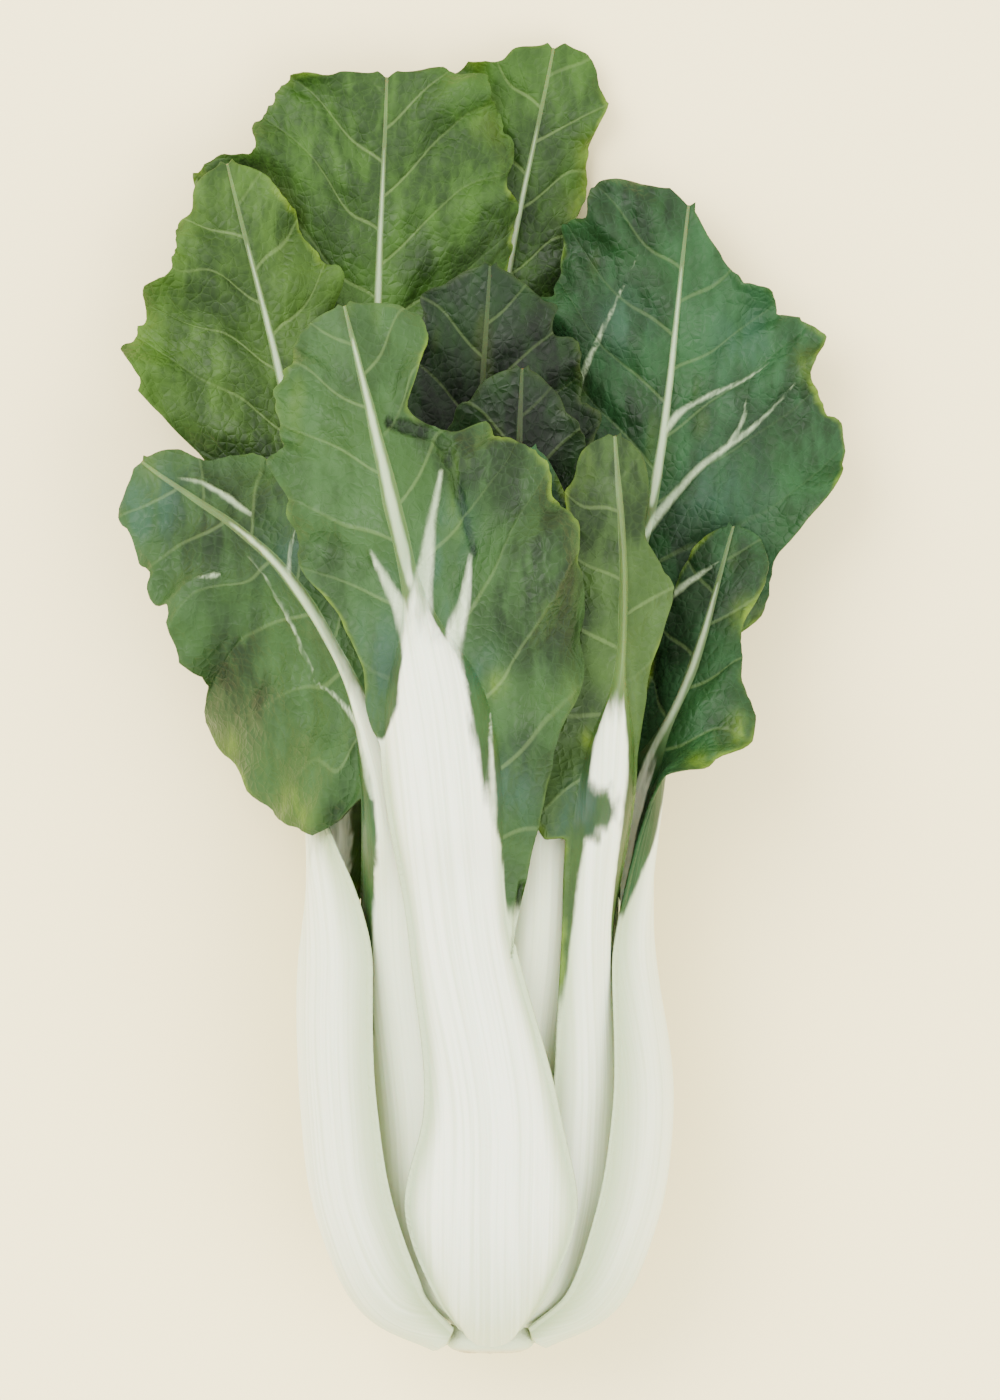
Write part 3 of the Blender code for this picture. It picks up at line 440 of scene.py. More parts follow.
class HalfBlade:
    """The left (-1) or right (+1) half of a blade as seen from above."""

    def __init__(self, leaf, spine, side, flip):
        self.leaf, self.spine, self.side = leaf, spine, side
        self.first = spine.rows_from[0 if side < 0 else 1]
        self.sweep = leaf.left_sweep if side < 0 else leaf.right_sweep
        self.hand = side * flip
        # Each side vein is followed out to where it leaves the outline.
        self.starts = np.linspace(self.first, spine.tip_at, 140)
        out = np.arange(0.0, 75.0, 0.5)
        path = self.points(self.starts[:, None] + 0 * out, out + 0 * self.starts[:, None], None)
        plan = np.linalg.norm((path - path[:, :1])[..., :2], axis=-1)
        kept = inside(path, outline_of(leaf)) & (plan > 0.7 * out - 3)
        found = np.cumprod(kept, axis=1).sum(axis=1) * 0.5
        self.breadths = np.convolve(np.pad(found, 3, mode="edge"), np.ones(7) / 7, mode="valid")

    def breadth(self, rows):
        phase = self.leaf.phase
        found = np.interp(rows, self.starts, self.breadths)
        wobble = np.sin(rows / 3.3 + phase * 3) + 0.5 * np.sin(rows / 1.9 + self.side)
        teeth = lumps(rows / 3.7 + 9 * phase, 0 * rows + self.side, 7)
        teeth = teeth + 0.6 * lumps(rows / 1.6, 0 * rows, 8)
        found = found + (SCALLOP * wobble + NICK * teeth) * ease(5, 20, found)
        run_in = ease(self.first - 1.5, self.first + 3.5, rows)
        return WING + (np.maximum(found, 1.2) - WING) * run_in

    def points(self, rows, d, breadth):
        """Where the blade is, d out along the side veins that leave the midrib at these rows."""
        spine, droop = self.spine, self.leaf.droop
        up = (rows - self.first) / (spine.tip_at - self.first)
        lean = self.sweep[0] + (self.sweep[1] - self.sweep[0]) * ease(0, 0.55, up)
        half, bend, _ = spine.section(rows)
        turn = half / bend
        away = bend * np.sin(turn) + d
        free = ease(spine.collar_at - 12, spine.collar_at + 18, rows)
        slope = np.tan(turn) * (1 - free) + droop[0] * free
        rise = -bend * (1 - np.cos(turn)) - slope * d - droop[1] * d * d / 2
        if breadth is not None:
            rise = rise + self.relief(rows, d, breadth)
        centre, across, back = spine.frame(rows + lean * d)
        return centre + (self.hand * away)[..., None] * across + rise[..., None] * back

    def relief(self, rows, d, breadth):
        """The ruffle that grows towards the margin, the quilting, and the rolled margin."""
        x, phase = d / breadth, self.leaf.phase
        waves = 2 * np.pi * (rows + 0.4 * d) / WAVE_LENGTH + phase + self.side
        swing = np.sin(waves) + 0.35 * np.sin(2.3 * waves + phase)
        full = np.minimum(1, d / 6) * (1 - x**4) * ease(4, 18, breadth)
        quilt = QUILT * np.sin(np.pi * self.vein_count(rows, d)) ** 2 * full
        frill = np.sin(rows / 1.7 + 2 * np.sin(rows / 7 + phase)) * ease(0.6, 1, x) * 0.5
        roll = CURL * lumps(rows / 11 + 5 * phase, 0 * rows + self.side, 3) * ease(0.82, 1, x) ** 2
        return (self.leaf.ruffle * x**1.8 * swing + frill + roll) * ease(3, 22, breadth) - quilt

    def vein_count(self, rows, d):
        """Whole numbers along the side veins, which bend forward and wander on their way out."""
        count = rows / VEIN_PITCH + self.leaf.phase + 0.25 * self.side
        wander = 0.3 * lumps(rows / 23, d / 15 + self.leaf.phase * 4, 31 + self.side)
        return count + (wander - 0.4 * (d / 40) ** 2) * ease(0, 12, d)

    def detail(self, rows, d, breadth):
        """Side veins and blisters, in millimetres towards the blade's back."""
        off_vein = np.abs((self.vein_count(rows, d) + 0.5) % 1 - 0.5) * VEIN_PITCH
        far = np.clip(d / 35, 0, 1)
        width = VEIN_WIDTHS[0] + (VEIN_WIDTHS[1] - VEIN_WIDTHS[0]) * far
        ridge = VEIN_HEIGHT * (1 - 0.7 * far) * np.exp(-((off_vein / width) ** 2))
        seed = int(self.leaf.phase * 10) + self.side
        small = lumps(rows / 4.2, d / 4.2, seed) + 0.45 * lumps(rows / 1.9, d / 1.9, seed + 50)
        blister = BLISTER * small * ease(1, 7, d)
        return (ridge - blister) * ease(2, 9, breadth) * ease(0, 2.5, d)


def line_gap(lines, points):
    """How far each point lies from the nearest of these tapering lines, seen from above.

    0 is a line's edge and 1 is where its soft edge ends, which is wider on a wide line."""
    gap = np.full(points.shape[:-1], 20.0)
    for base, *marks in lines:
        marks = np.array(marks, float)
        chord = np.concatenate([[0], np.cumsum(np.linalg.norm(np.diff(marks, axis=0), axis=1))])
        steps = np.linspace(0, chord[-1], max(int(chord[-1] / 0.8), 4))
        for spot, share in zip(through(steps, chord, marks), steps / chord[-1]):
            half = base * (1 - 0.8 * share) * (0.55 + 0.45 * ease(0, 0.15, share))
            away = np.hypot(points[..., 0] - spot[0], points[..., 1] - spot[1]) - half
            gap = np.minimum(gap, away / (0.5 + 0.6 * half) + 0.5 * share**3)
    return gap


class Sheet:
    """The fine grid of one leaf: rows from root to tip, columns from the left margin to the right."""

    def __init__(self, leaf):
        self.leaf, self.spine = leaf, Spine(leaf)
        spine = self.spine
        over = np.searchsorted(spine.at, (spine.collar_at + spine.tip_at) / 2)
        # Blades that lie with their face up have the picture's left on the other side.
        flip = 1.0 if spine.across[over, 0] > 0 else -1.0
        halves = [HalfBlade(leaf, spine, side, flip) for side in (-1, 1)]
        rows = self.places(spine)
        self.counts = [self.columns(half, rows) for half in halves]
        middle, depth, detail, self.marks = [], [], [], []
        for k, half in enumerate(halves):
            breadth = half.breadth(rows)[:, None]
            share = np.linspace(0, 1, self.counts[k] + 1)
            d = breadth * share
            at = rows[:, None] + 0 * d
            points = half.points(at, d, breadth)
            edge = self.edge_depth(rows)[:, None]
            thick = SHEET + (edge - SHEET) * np.exp(-d / 2.2)
            thick = thick * (1 - 0.35 * ease(0.9, 1, share))
            marks = np.stack([half.vein_count(at, d), d, breadth - d], axis=-1)
            block = [points, np.stack([thick / 2, thick / 2]), half.detail(at, d, breadth), marks]
            if k == 0:
                block = [points[:, ::-1], block[1][:, :, ::-1], block[2][:, ::-1], marks[:, ::-1]]
            for store, value in zip((middle, depth, detail, self.marks), block):
                store.append(value)
        stalk = self.stalk(rows, flip)
        for store, value in zip((middle, depth, detail, self.marks), stalk):
            store.insert(1, value)
        # The columns where stalk and blade meet belong to both.
        self.seams = (self.counts[0], self.counts[0] + STALK_COLUMNS)
        middle = sagged(self.joined(middle))
        detail = self.joined(detail)
        depth = np.concatenate([depth[0][:, :, :-1], depth[1], depth[2][:, :, 1:]], axis=2)
        self.rows, self.middle = rows, middle
        self.gap = np.minimum(line_gap(leaf.veins, middle), self.rib_gap())
        # Creases: sunk into the sheet here, and darkened with painted shade in build_leaf.
        self.fold = np.exp(-((np.maximum(line_gap(leaf.folds, middle), 0) / 0.9) ** 2))
        strong = 0.5 * np.exp(-(np.maximum(self.gap + 0.4, 0) ** 2)) * ease(0, 3, self.out())
        strong = strong - 1.4 * self.fold
        back = self.normals(middle)
        if np.sum(back * self.spine_back()) < 0:
            back = -back
        self.hand = 1 if np.sum(np.cross(self.step(middle, 1), self.step(middle, 0)) * back) > 0 else -1
        detail = detail + strong
        self.skins = [
            middle + back * (detail + depth[0])[..., None],
            middle + back * (detail - depth[1])[..., None],
        ]

    @staticmethod
    def places(spine):
        """Where the rows stand: closer on the blade, and closest where the blade begins."""
        at = np.arange(0, spine.tip_at, 0.25)
        first = min(spine.rows_from)
        pitch = STALK_PITCH + (BLADE_PITCH - STALK_PITCH) * ease(first - 14, first, at)
        for start in spine.rows_from:
            near = np.exp(-(((at - start - 1) / 3.5) ** 4))
            pitch = pitch + (BASE_PITCH - pitch) * near
        count = np.concatenate([[0], np.cumsum(0.25 / pitch[1:])])
        return np.interp(np.linspace(0, count[-1], int(count[-1])), count, at)

    @staticmethod
    def columns(half, rows):
        return int(np.clip(half.breadth(rows).max() / COLUMN_PITCH, 8, 40))

    def edge_depth(self, at):
        _, _, thickness = self.spine.section(at)
        return np.minimum(STALK_EDGE, 0.8 * thickness)

    def stalk(self, rows, flip):
        """Middle points, depths of the two skins, fine detail and marks of the stalk's columns."""
        spine = self.spine
        share = np.sin(np.linspace(-1, 1, STALK_COLUMNS + 1) * np.pi / 2 * 0.9) / np.sin(np.pi / 2 * 0.9)
        half, _, thickness = spine.section(rows)
        q = half[:, None] * share
        at = rows[:, None] + 0 * q
        points = spine.wall_point(at, flip * q)
        edge = self.edge_depth(rows)[:, None]
        rib = ease(spine.waist_at, spine.collar_at, at)
        depth = edge + (thickness[:, None] - edge) * (1 - share**2) ** 1.15
        shape = np.stack([depth * (0.5 + 0.22 * rib), depth * (0.5 - 0.22 * rib)])
        fluting = 0.09 * np.cos(2 * np.pi * q / 3.1 + 2 * lumps(at / 40, q / 6, 11))
        swell = 0.35 * lumps(at / 22, q / 9, 12)
        detail = (fluting + swell) * (1 - share**4) * (1 - rib * ease(0.2, 1, rib))
        return points, shape, detail, np.stack([at, q, np.abs(share) + 0 * at], axis=-1)

    @staticmethod
    def joined(blocks):
        return np.concatenate([blocks[0][:, :-1], blocks[1], blocks[2][:, 1:]], axis=1)

    @staticmethod
    def step(points, axis):
        return np.gradient(points, axis=axis)

    def normals(self, points):
        return unit(np.cross(self.step(points, 1), self.step(points, 0)))

    def spine_back(self):
        _, _, back = self.spine.frame(self.rows)
        return back[:, None, :]

    def out(self):
        """Millimetres out from the stalk or midrib, 0 on it."""
        left, right = self.seams
        d = np.zeros(self.middle.shape[:2])
        d[:, :left] = self.marks[0][:, :-1, 1]
        d[:, right + 1:] = self.marks[2][:, 1:, 1]
        return d

    def rib_gap(self):
        """The gap of the pale line that runs up the middle of the midrib."""
        left, right = self.seams
        gap = np.full(self.middle.shape[:2], 20.0)
        if self.leaf.pale_rib:
            base, low, high = self.leaf.pale_rib
            y = self.middle[:, (left + right) // 2, 1][:, None]
            share = np.clip((y - low) / (high - low), 0, 1)
            half = base * (1 - 0.75 * share) * (0.5 + 0.5 * ease(0, 0.12, share))
            beyond = np.maximum(np.maximum(low - y, y - high), 0) * 0.35
            across = np.abs(self.marks[1][..., 1])
            gap[:, left:right + 1] = (np.hypot(across, beyond) - half) / (0.5 + 0.4 * half) + 0.6 * share**3
        return gap

    def lay(self, pile):
        """Raises the leaf over what lies under it and keeps it above the table."""
        lift = pile.lift(self.skins)
        lower = [pile.raised(skin, lift) for skin in self.skins]
        for skin in lower:
            skin[..., 2] = np.maximum(skin[..., 2], 0)
        top = int(self.skins[1][..., 2].mean() > self.skins[0][..., 2].mean())
        least = SHEET * 0.8 + 0 * lower[0][..., 2]
        lower[top][..., 2] = np.maximum(lower[top][..., 2], least)
        self.skins = lower
        pile.add(self.skins)

    def greens(self):
        """From 0 where the leaf is white to 1 where it is green."""
        spine, leaf = self.spine, self.leaf
        up = (self.rows - spine.collar_at) / (spine.tip_at - spine.collar_at)
        up = up[:, None]
        rib = ease(leaf.white[0], leaf.white[1], up)
        below = (spine.collar_at - self.rows)[:, None]
        side = np.arange(self.middle.shape[1]) > sum(self.seams) / 2
        strip = np.where(side, leaf.strip[1], leaf.strip[0])
        across = self.across_share()
        edge = (1 - ease(0.2 * strip, strip, below)) * ease(0.62, 1.0, across)
        y = self.middle[:, sum(self.seams) // 2, 1]
        for half, pairs in zip((~side, side), leaf.white_to):
            if pairs:
                limit = np.interp(y, *zip(*pairs))[:, None]
                edge = np.where(half, ease(limit, limit + 0.18, across) * ease(1.0, 0.97, limit), edge)
        on_stalk = np.maximum(rib, 0.95 * edge)
        reach = 0.5 + leaf.fan * ease(-0.12, 0.02, up) * (1 - ease(0.05, 0.4, up))
        blade = 1 - np.exp(-((self.out() / reach) ** 2))
        blade = blade * np.maximum(edge, ease(2.0, 6.0, self.out() + self.margin()))
        green = on_stalk + (1 - on_stalk) * np.where(self.out() > 0, blade, 0)
        halo = np.exp(-((np.maximum(self.gap + 0.3, 0) / (0.5 + 0.2 * leaf.fan)) ** 2))
        green = green * (1 - 0.2 * leaf.fan * halo * (1 - ease(0.15, 0.5, up)))
        for kind, x, y, reach in leaf.spots:
            if kind == "green":
                ragged = 1 + 0.2 * lumps(self.middle[..., 0] / 1.6, self.middle[..., 1] / 4, 5)
                away = np.hypot(self.middle[..., 0] - x, self.middle[..., 1] - y) / (reach * ragged)
                green = np.maximum(green, np.exp(-(away**6)))
        return green

    def midrib_share(self):
        """0 on the stalk, rising to 1 where it has become the midrib."""
        spine = self.spine
        return ease(0.04, 0.3, (self.rows - spine.collar_at) / (spine.tip_at - spine.collar_at))[:, None]

    def edge_share(self):
        """1 at the stalk's two edges, fading to 0 over its middle and up beside the midrib. It places the
        edges' greener colour and painted shade, wider on leaves in shadow.
        """
        below = (self.spine.collar_at - self.rows)[:, None]
        return ease(0.75 - 0.6 * self.leaf.shade, 1.0, self.across_share()) * ease(-4, 22, below)

    def across_share(self):
        left, right = self.seams
        share = np.ones(self.middle.shape[:2])
        share[:, left:right + 1] = self.marks[1][..., 2]
        return share

    def margin(self):
        left, right = self.seams
        edge = np.full(self.middle.shape[:2], 30.0)
        edge[:, :left] = self.marks[0][:, :-1, 2]
        edge[:, right + 1:] = self.marks[2][:, 1:, 2]
        return edge


class Pile:
    """Heights of what has been laid so far, on a grid of cells seen from above."""

    def __init__(self):
        self.top = np.full(FIELD_SIZE, -np.inf)

    @staticmethod
    def laid(skins):
        """The points of a leaf that meet the leaves above and below it, past the waist."""
        return np.concatenate([skin[skin[..., 1] > LAY_FROM - 2] for skin in skins])

    @staticmethod
    def cells(points):
        return tuple(((points[..., :2] - FIELD_LOW) / CELL).astype(int).reshape(-1, 2).T)

    @staticmethod
    def spread(grid, reach, take):
        """Each cell takes the highest, lowest or mean of its neighbours within reach, row by row."""
        for axis in (0, 1):
            edges = [(reach, reach) if axis == a else (0, 0) for a in (0, 1)]
            padded = np.pad(grid, edges, mode="edge")
            size = grid.shape[axis]
            shifted = [np.take(padded, range(k, k + size), axis=axis) for k in range(2 * reach + 1)]
            grid = take(np.stack(shifted), axis=0)
        return grid

    def lift(self, skins):
        """How far a leaf must rise over each cell, eased out all round."""
        points = self.laid(skins)
        low = np.full(FIELD_SIZE, np.inf)
        np.minimum.at(low, self.cells(points), points[:, 2])
        low = self.spread(low, 1, np.min)
        under = self.spread(self.top, 1, np.max)
        needed = np.where(np.isfinite(low) & np.isfinite(under), under + LAY_GAP - low, 0)
        wide = self.spread(np.maximum(needed, 0), LAY_REACH + 2, np.max)
        return self.spread(self.spread(wide, LAY_REACH, np.mean), LAY_REACH, np.mean)

    def add(self, skins):
        points = self.laid(skins)
        np.maximum.at(self.top, self.cells(points), points[:, 2])

    def raised(self, points, lift):
        """The points with the lift read between cells, growing from none at the stalks' waist."""
        spot = (points[..., :2] - FIELD_LOW) / CELL - 0.5
        cell = spot.astype(int)
        part = spot - cell
        x, y = cell[..., 0], cell[..., 1]
        above = (
            lift[x, y] * (1 - part[..., 0]) * (1 - part[..., 1])
            + lift[x + 1, y] * part[..., 0] * (1 - part[..., 1])
            + lift[x, y + 1] * (1 - part[..., 0]) * part[..., 1]
            + lift[x + 1, y + 1] * part[..., 0] * part[..., 1]
        )
        points = points.copy()
        points[..., 2] += above * ease(LAY_FROM, LAY_FULL, points[..., 1])
        return points


def ring_of(rows, columns):
    """Indices round the border of a grid, in order."""
    index = np.arange(rows * columns).reshape(rows, columns)
    return np.concatenate([index[0, :-1], index[:-1, -1], index[-1, :0:-1], index[:0:-1, 0]])


def slab(skins, normals, values, hand, free):
    """A closed solid of two skins with a rounded rim: vertices, normals, faces and vertex values.

    free says which of the left and right sides are open margins, which swell a little."""
    rows, columns = skins[0].shape[:2]
    size = rows * columns
    ring = ring_of(rows, columns)
    outer, inner = [skin.reshape(-1, 3) for skin in skins]
    between = (outer + inner) / 2
    out = np.zeros_like(between).reshape(rows, columns, 3)
    across = np.gradient(between.reshape(rows, columns, 3), axis=1)
    along = np.gradient(between.reshape(rows, columns, 3), axis=0)
    out[:, 0] -= unit(across[:, 0]) * free[0]
    out[:, -1] += unit(across[:, -1]) * free[1]
    out[0] -= unit(along[0])
    out[-1] += unit(along[-1])
    out = unit(out.reshape(-1, 3))[ring]
    swell = 0.4 * np.linalg.norm(outer - inner, axis=1)[ring][:, None]
    rim = between[ring] + out * swell
    vertices = np.concatenate([outer, inner, rim])
    rim_normals = np.where(np.linalg.norm(out, axis=1)[:, None] > 0.5, out, normals[0].reshape(-1, 3)[ring])
    all_normals = np.concatenate([normals[0].reshape(-1, 3), normals[1].reshape(-1, 3), rim_normals])
    index = np.arange(size).reshape(rows, columns)
    quads = np.stack([index[:-1, :-1], index[:-1, 1:], index[1:, 1:], index[1:, :-1]], -1).reshape(-1, 4)
    count = len(ring)
    here = np.arange(count)
    after = (here + 1) % count
    upper = np.stack([ring[here], 2 * size + here, 2 * size + after, ring[after]], -1)
    lower = np.stack([2 * size + here, size + ring[here], size + ring[after], 2 * size + after], -1)
    faces = np.concatenate([quads, quads[:, ::-1] + size, upper, lower])
    if hand < 0:
        faces = faces[:, ::-1]
    carried = {}
    for name, (on_back, on_face) in values.items():
        on_back, on_face = on_back.reshape(size, -1), on_face.reshape(size, -1)
        carried[name] = np.concatenate([on_back, on_face, on_back[ring]])
    return vertices, all_normals, faces, carried


def mesh_piece(name, solids, material, nodes):
    """A piece of several closed solids that stands for a node of the frame."""
    vertices, normals, faces, carried = [], [], [], {}
    start = 0
    for solid_vertices, solid_normals, solid_faces, solid_values in solids:
        vertices.append(solid_vertices)
        normals.append(solid_normals)
        faces.append(solid_faces + start)
        start += len(solid_vertices)
        for key, value in solid_values.items():
            carried.setdefault(key, []).append(value)
    vertices, normals, faces = map(np.concatenate, (vertices, normals, faces))
    mesh = bpy.data.meshes.new(name)
    mesh.vertices.add(len(vertices))
    mesh.vertices.foreach_set("co", (vertices * MM).astype(np.float32).ravel())
    mesh.loops.add(faces.size)
    mesh.loops.foreach_set("vertex_index", faces.astype(np.int32).ravel())
    mesh.polygons.add(len(faces))
    mesh.polygons.foreach_set("loop_start", np.arange(0, faces.size, 4, dtype=np.int32))
    mesh.update(calc_edges=True)
    mesh.shade_smooth()
    for key, value in carried.items():
        value = np.concatenate(value).astype(np.float32)
        attribute = mesh.attributes.new(key, "FLOAT_VECTOR", "POINT")
        attribute.data.foreach_set("vector", value.ravel())
    mesh.normals_split_custom_set_from_vertices(normals.astype(np.float32))
    mesh.materials.append(material)
    piece = bpy.data.objects.new(name, mesh)
    bpy.context.scene.collection.objects.link(piece)
    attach(piece, "root")
    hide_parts(*nodes)
    return piece


def build_leaf(leaf, pile, materials):
    """The stalk with its midrib, and the blade, cut from one sheet so that they meet unseen."""
    sheet = Sheet(leaf)
    sheet.lay(pile)
    back, face = sheet.skins
    normals = [sheet.normals(back) * sheet.hand, -sheet.normals(face) * sheet.hand]
    green, gap = sheet.greens(), sheet.gap
    left, right = sheet.seams
    tints = spot_tints(leaf, sheet.middle)
    # Painted shade in the creases, in the same channel as the dark spots.
    tints[..., 0] = np.maximum(tints[..., 0], FOLD_SHADE * sheet.fold)
    plain = 0 * green
    blade_form = np.stack([plain + leaf.even, sheet.edge_share(), plain + leaf.shade], -1)
    stalk_form = np.stack([plain + sheet.midrib_share(), sheet.edge_share(), plain + leaf.shade], -1)

    def cut(low, high, place, form, free):
        part = slice(low, high)
        zone = [np.stack([green, 0 * green + side, gap], -1)[:, part] for side in (1, 0)]
        values = {
            "place": (place, place),
            "zone": zone,
            "tint": (tints[:, part], tints[:, part]),
            "form": (form[:, part], form[:, part]),
        }
        return slab(
            [back[:, part], face[:, part]], [n[:, part] for n in normals], values, sheet.hand, free
        )

    blade = [
        cut(0, left + 1, sheet.marks[0], blade_form, (1, 0)),
        cut(right, None, sheet.marks[2], blade_form, (0, 1)),
    ]
    stalk = [cut(left, right + 1, sheet.marks[1], stalk_form, (0, 0))]
    green_skin, white_skin = materials[leaf.tone]
    mesh_piece("leaf_" + leaf.name, blade, green_skin, ["blade_" + leaf.name])
    mesh_piece("rib_" + leaf.name, stalk, white_skin, ["stalk_" + leaf.name])


def spot_tints(leaf, points):
    """How strongly each soft tint shows at each point: dark (or, below 0, pale), yellow, blue. The dark
    tint is partly painted shade, where leaves lie under others and in the heart, and partly darker patches
    of the green.
    """
    kinds = {"dark": (0, 1), "pale": (0, -1), "yellow": (1, 1), "blue": (2, 1)}
    tints = np.zeros((*points.shape[:-1], 3))
    for kind, x, y, reach in leaf.spots:
        if kind in kinds:
            column, sign = kinds[kind]
            away = np.hypot(points[..., 0] - x, (points[..., 1] - y) / SPOT_STRETCH) / reach
            tints[..., column] += sign * np.exp(-away**2)
    return np.clip(tints, -1, 1)


# Materials


def paint(code):
    """A colour from its six hex digits, as the shader wants it."""
    parts = [int(code[k : k + 2], 16) / 255 for k in (0, 2, 4)]
    return (*[p / 12.92 if p < 0.04045 else ((p + 0.055) / 1.055) ** 2.4 for p in parts], 1.0)


WHITE = "ebf0dc"  # of the stalks
SHADE = "c4cfaa"  # their greener streaks, and painted shade on stalks in shadow and towards the root
EDGE = "94a678"  # their thin edges: partly their greener colour there, partly painted shade where they turn away
PALE_VEIN = "86a061"
STRONG_VEIN = "a9bd97"
MARGIN = "66801c"
BLUE_GREEN = "274533"
# the deepest dark of the dark tints, partly painted shade
DARKEST = "060f06"
CUT = "d8cfa6"
CUT_FIBRE = "bfb48a"
CUT_STAIN = "9a8456"
FLOOR = "fcedb8"
KEY_LIGHT = (1.0, 0.99, 0.95)
FILL_LIGHT = (1.0, 0.99, 0.97)
ROOM_LIGHT = (1.0, 0.98, 0.93, 1)

TONES = {  # middle green, dark green and pale green of the blade
    "bright": ("294513", "182d0b", "3a5a1f"),
    "olive": ("2d470f", "1b310a", "405e21"),
    "middle": ("223c13", "15290c", "33502a"),
    "light": ("293f14", "1b2f0f", "3c5527"),
    "dark": ("173615", "0e240c", "274c2b"),
    # The heart leaves lie in shadow: their greens are darkened as painted shade.
    "shaded_heart": ("0c1f0a", "070f06", "16300f"),
}


class Nodes:
    """Adds nodes to a tree and joins them, so that a material reads like a sum."""

    def __init__(self, tree):
        self.tree = tree

    def feed(self, socket, value):
        if isinstance(value, bpy.types.NodeSocket):
            self.tree.links.new(value, socket)
        elif value is not None:
            socket.default_value = value

    def add(self, kind, *values, **settings):
        node = self.tree.nodes.new(kind)
        for key, value in settings.items():
            setattr(node, key, value)
        for socket, value in zip(node.inputs, values):
            self.feed(socket, value)
        return node

    def maths(self, operation, *values):
        return self.add("ShaderNodeMath", *values, operation=operation).outputs[0]

    def mix(self, share, a, b):
        node = self.add("ShaderNodeMix", data_type="RGBA")
        self.feed(node.inputs[0], share)
        self.feed(node.inputs[6], a)
        self.feed(node.inputs[7], b)
        return node.outputs[2]

    def between(self, value, low, high, start=0.0, end=1.0):
        """value eased from start at low to end at high."""
        node = self.add("ShaderNodeMapRange", value, low, high, start, end)
        node.interpolation_type = "SMOOTHSTEP"
        return node.outputs[0]

    def noise(self, vector, scale, detail=3.0, roughness=0.55):
        node = self.add("ShaderNodeTexNoise", vector)
        node.inputs["Scale"].default_value = scale
        node.inputs["Detail"].default_value = detail
        node.inputs["Roughness"].default_value = roughness
        return node.outputs[0]

    def lengthwise(self, where, *scales):
        """Places scaled unevenly, so that what is drawn with them runs along the leaf."""
        return self.add("ShaderNodeVectorMath", where, scales, operation="MULTIPLY").outputs[0]

    def strong_line(self, gap, where, strength):
        """A strong vein or the midrib's pale line, with slightly frayed edges."""
        fray = self.maths("SUBTRACT", self.noise(self.lengthwise(where, 420.0, 70.0, 260.0), 1.0), 0.5)
        frayed = self.maths("ADD", gap, self.maths("MULTIPLY", fray, 1.1))
        return self.between(frayed, -0.4, 0.9, strength, 0.0)

    def cover(self, greenness, where):
        """How much of the white the green hides, in streaks that run along the leaf."""
        streaks = self.noise(self.lengthwise(where, 330.0, 60.0, 200.0), 1.0, 3.0, 0.6)
        streaks = self.maths("SUBTRACT", streaks, 0.5)
        midway = self.maths("MULTIPLY", greenness, self.maths("SUBTRACT", 1.0, greenness))
        streaks = self.maths("MULTIPLY", streaks, self.maths("MULTIPLY", midway, 5.0))
        return self.between(self.maths("ADD", greenness, streaks), 0.1, 0.9)

    def parts(self, name):
        """The three numbers of a vertex attribute."""
        read = self.add("ShaderNodeAttribute", attribute_name=name)
        return self.add("ShaderNodeSeparateXYZ", read.outputs["Vector"]).outputs

    def group(self, tree, **values):
        node = self.add("ShaderNodeGroup", node_tree=tree)
        for key, value in values.items():
            self.feed(node.inputs[key.replace("_", " ").title()], value)
        return node.outputs


def new_group(name, inputs, outputs):
    """A shader node group with these sockets, as its nodes, its inputs and its output sockets."""
    tree = bpy.data.node_groups.new(name, "ShaderNodeTree")
    kinds = {"number": "NodeSocketFloat", "colour": "NodeSocketColor", "vector": "NodeSocketVector"}
    for label, kind in inputs.items():
        tree.interface.new_socket(label, in_out="INPUT", socket_type=kinds[kind])
    for label, kind in outputs.items():
        tree.interface.new_socket(label, in_out="OUTPUT", socket_type=kinds[kind])
    nodes = Nodes(tree)
    return nodes, nodes.add("NodeGroupInput").outputs, nodes.add("NodeGroupOutput").inputs


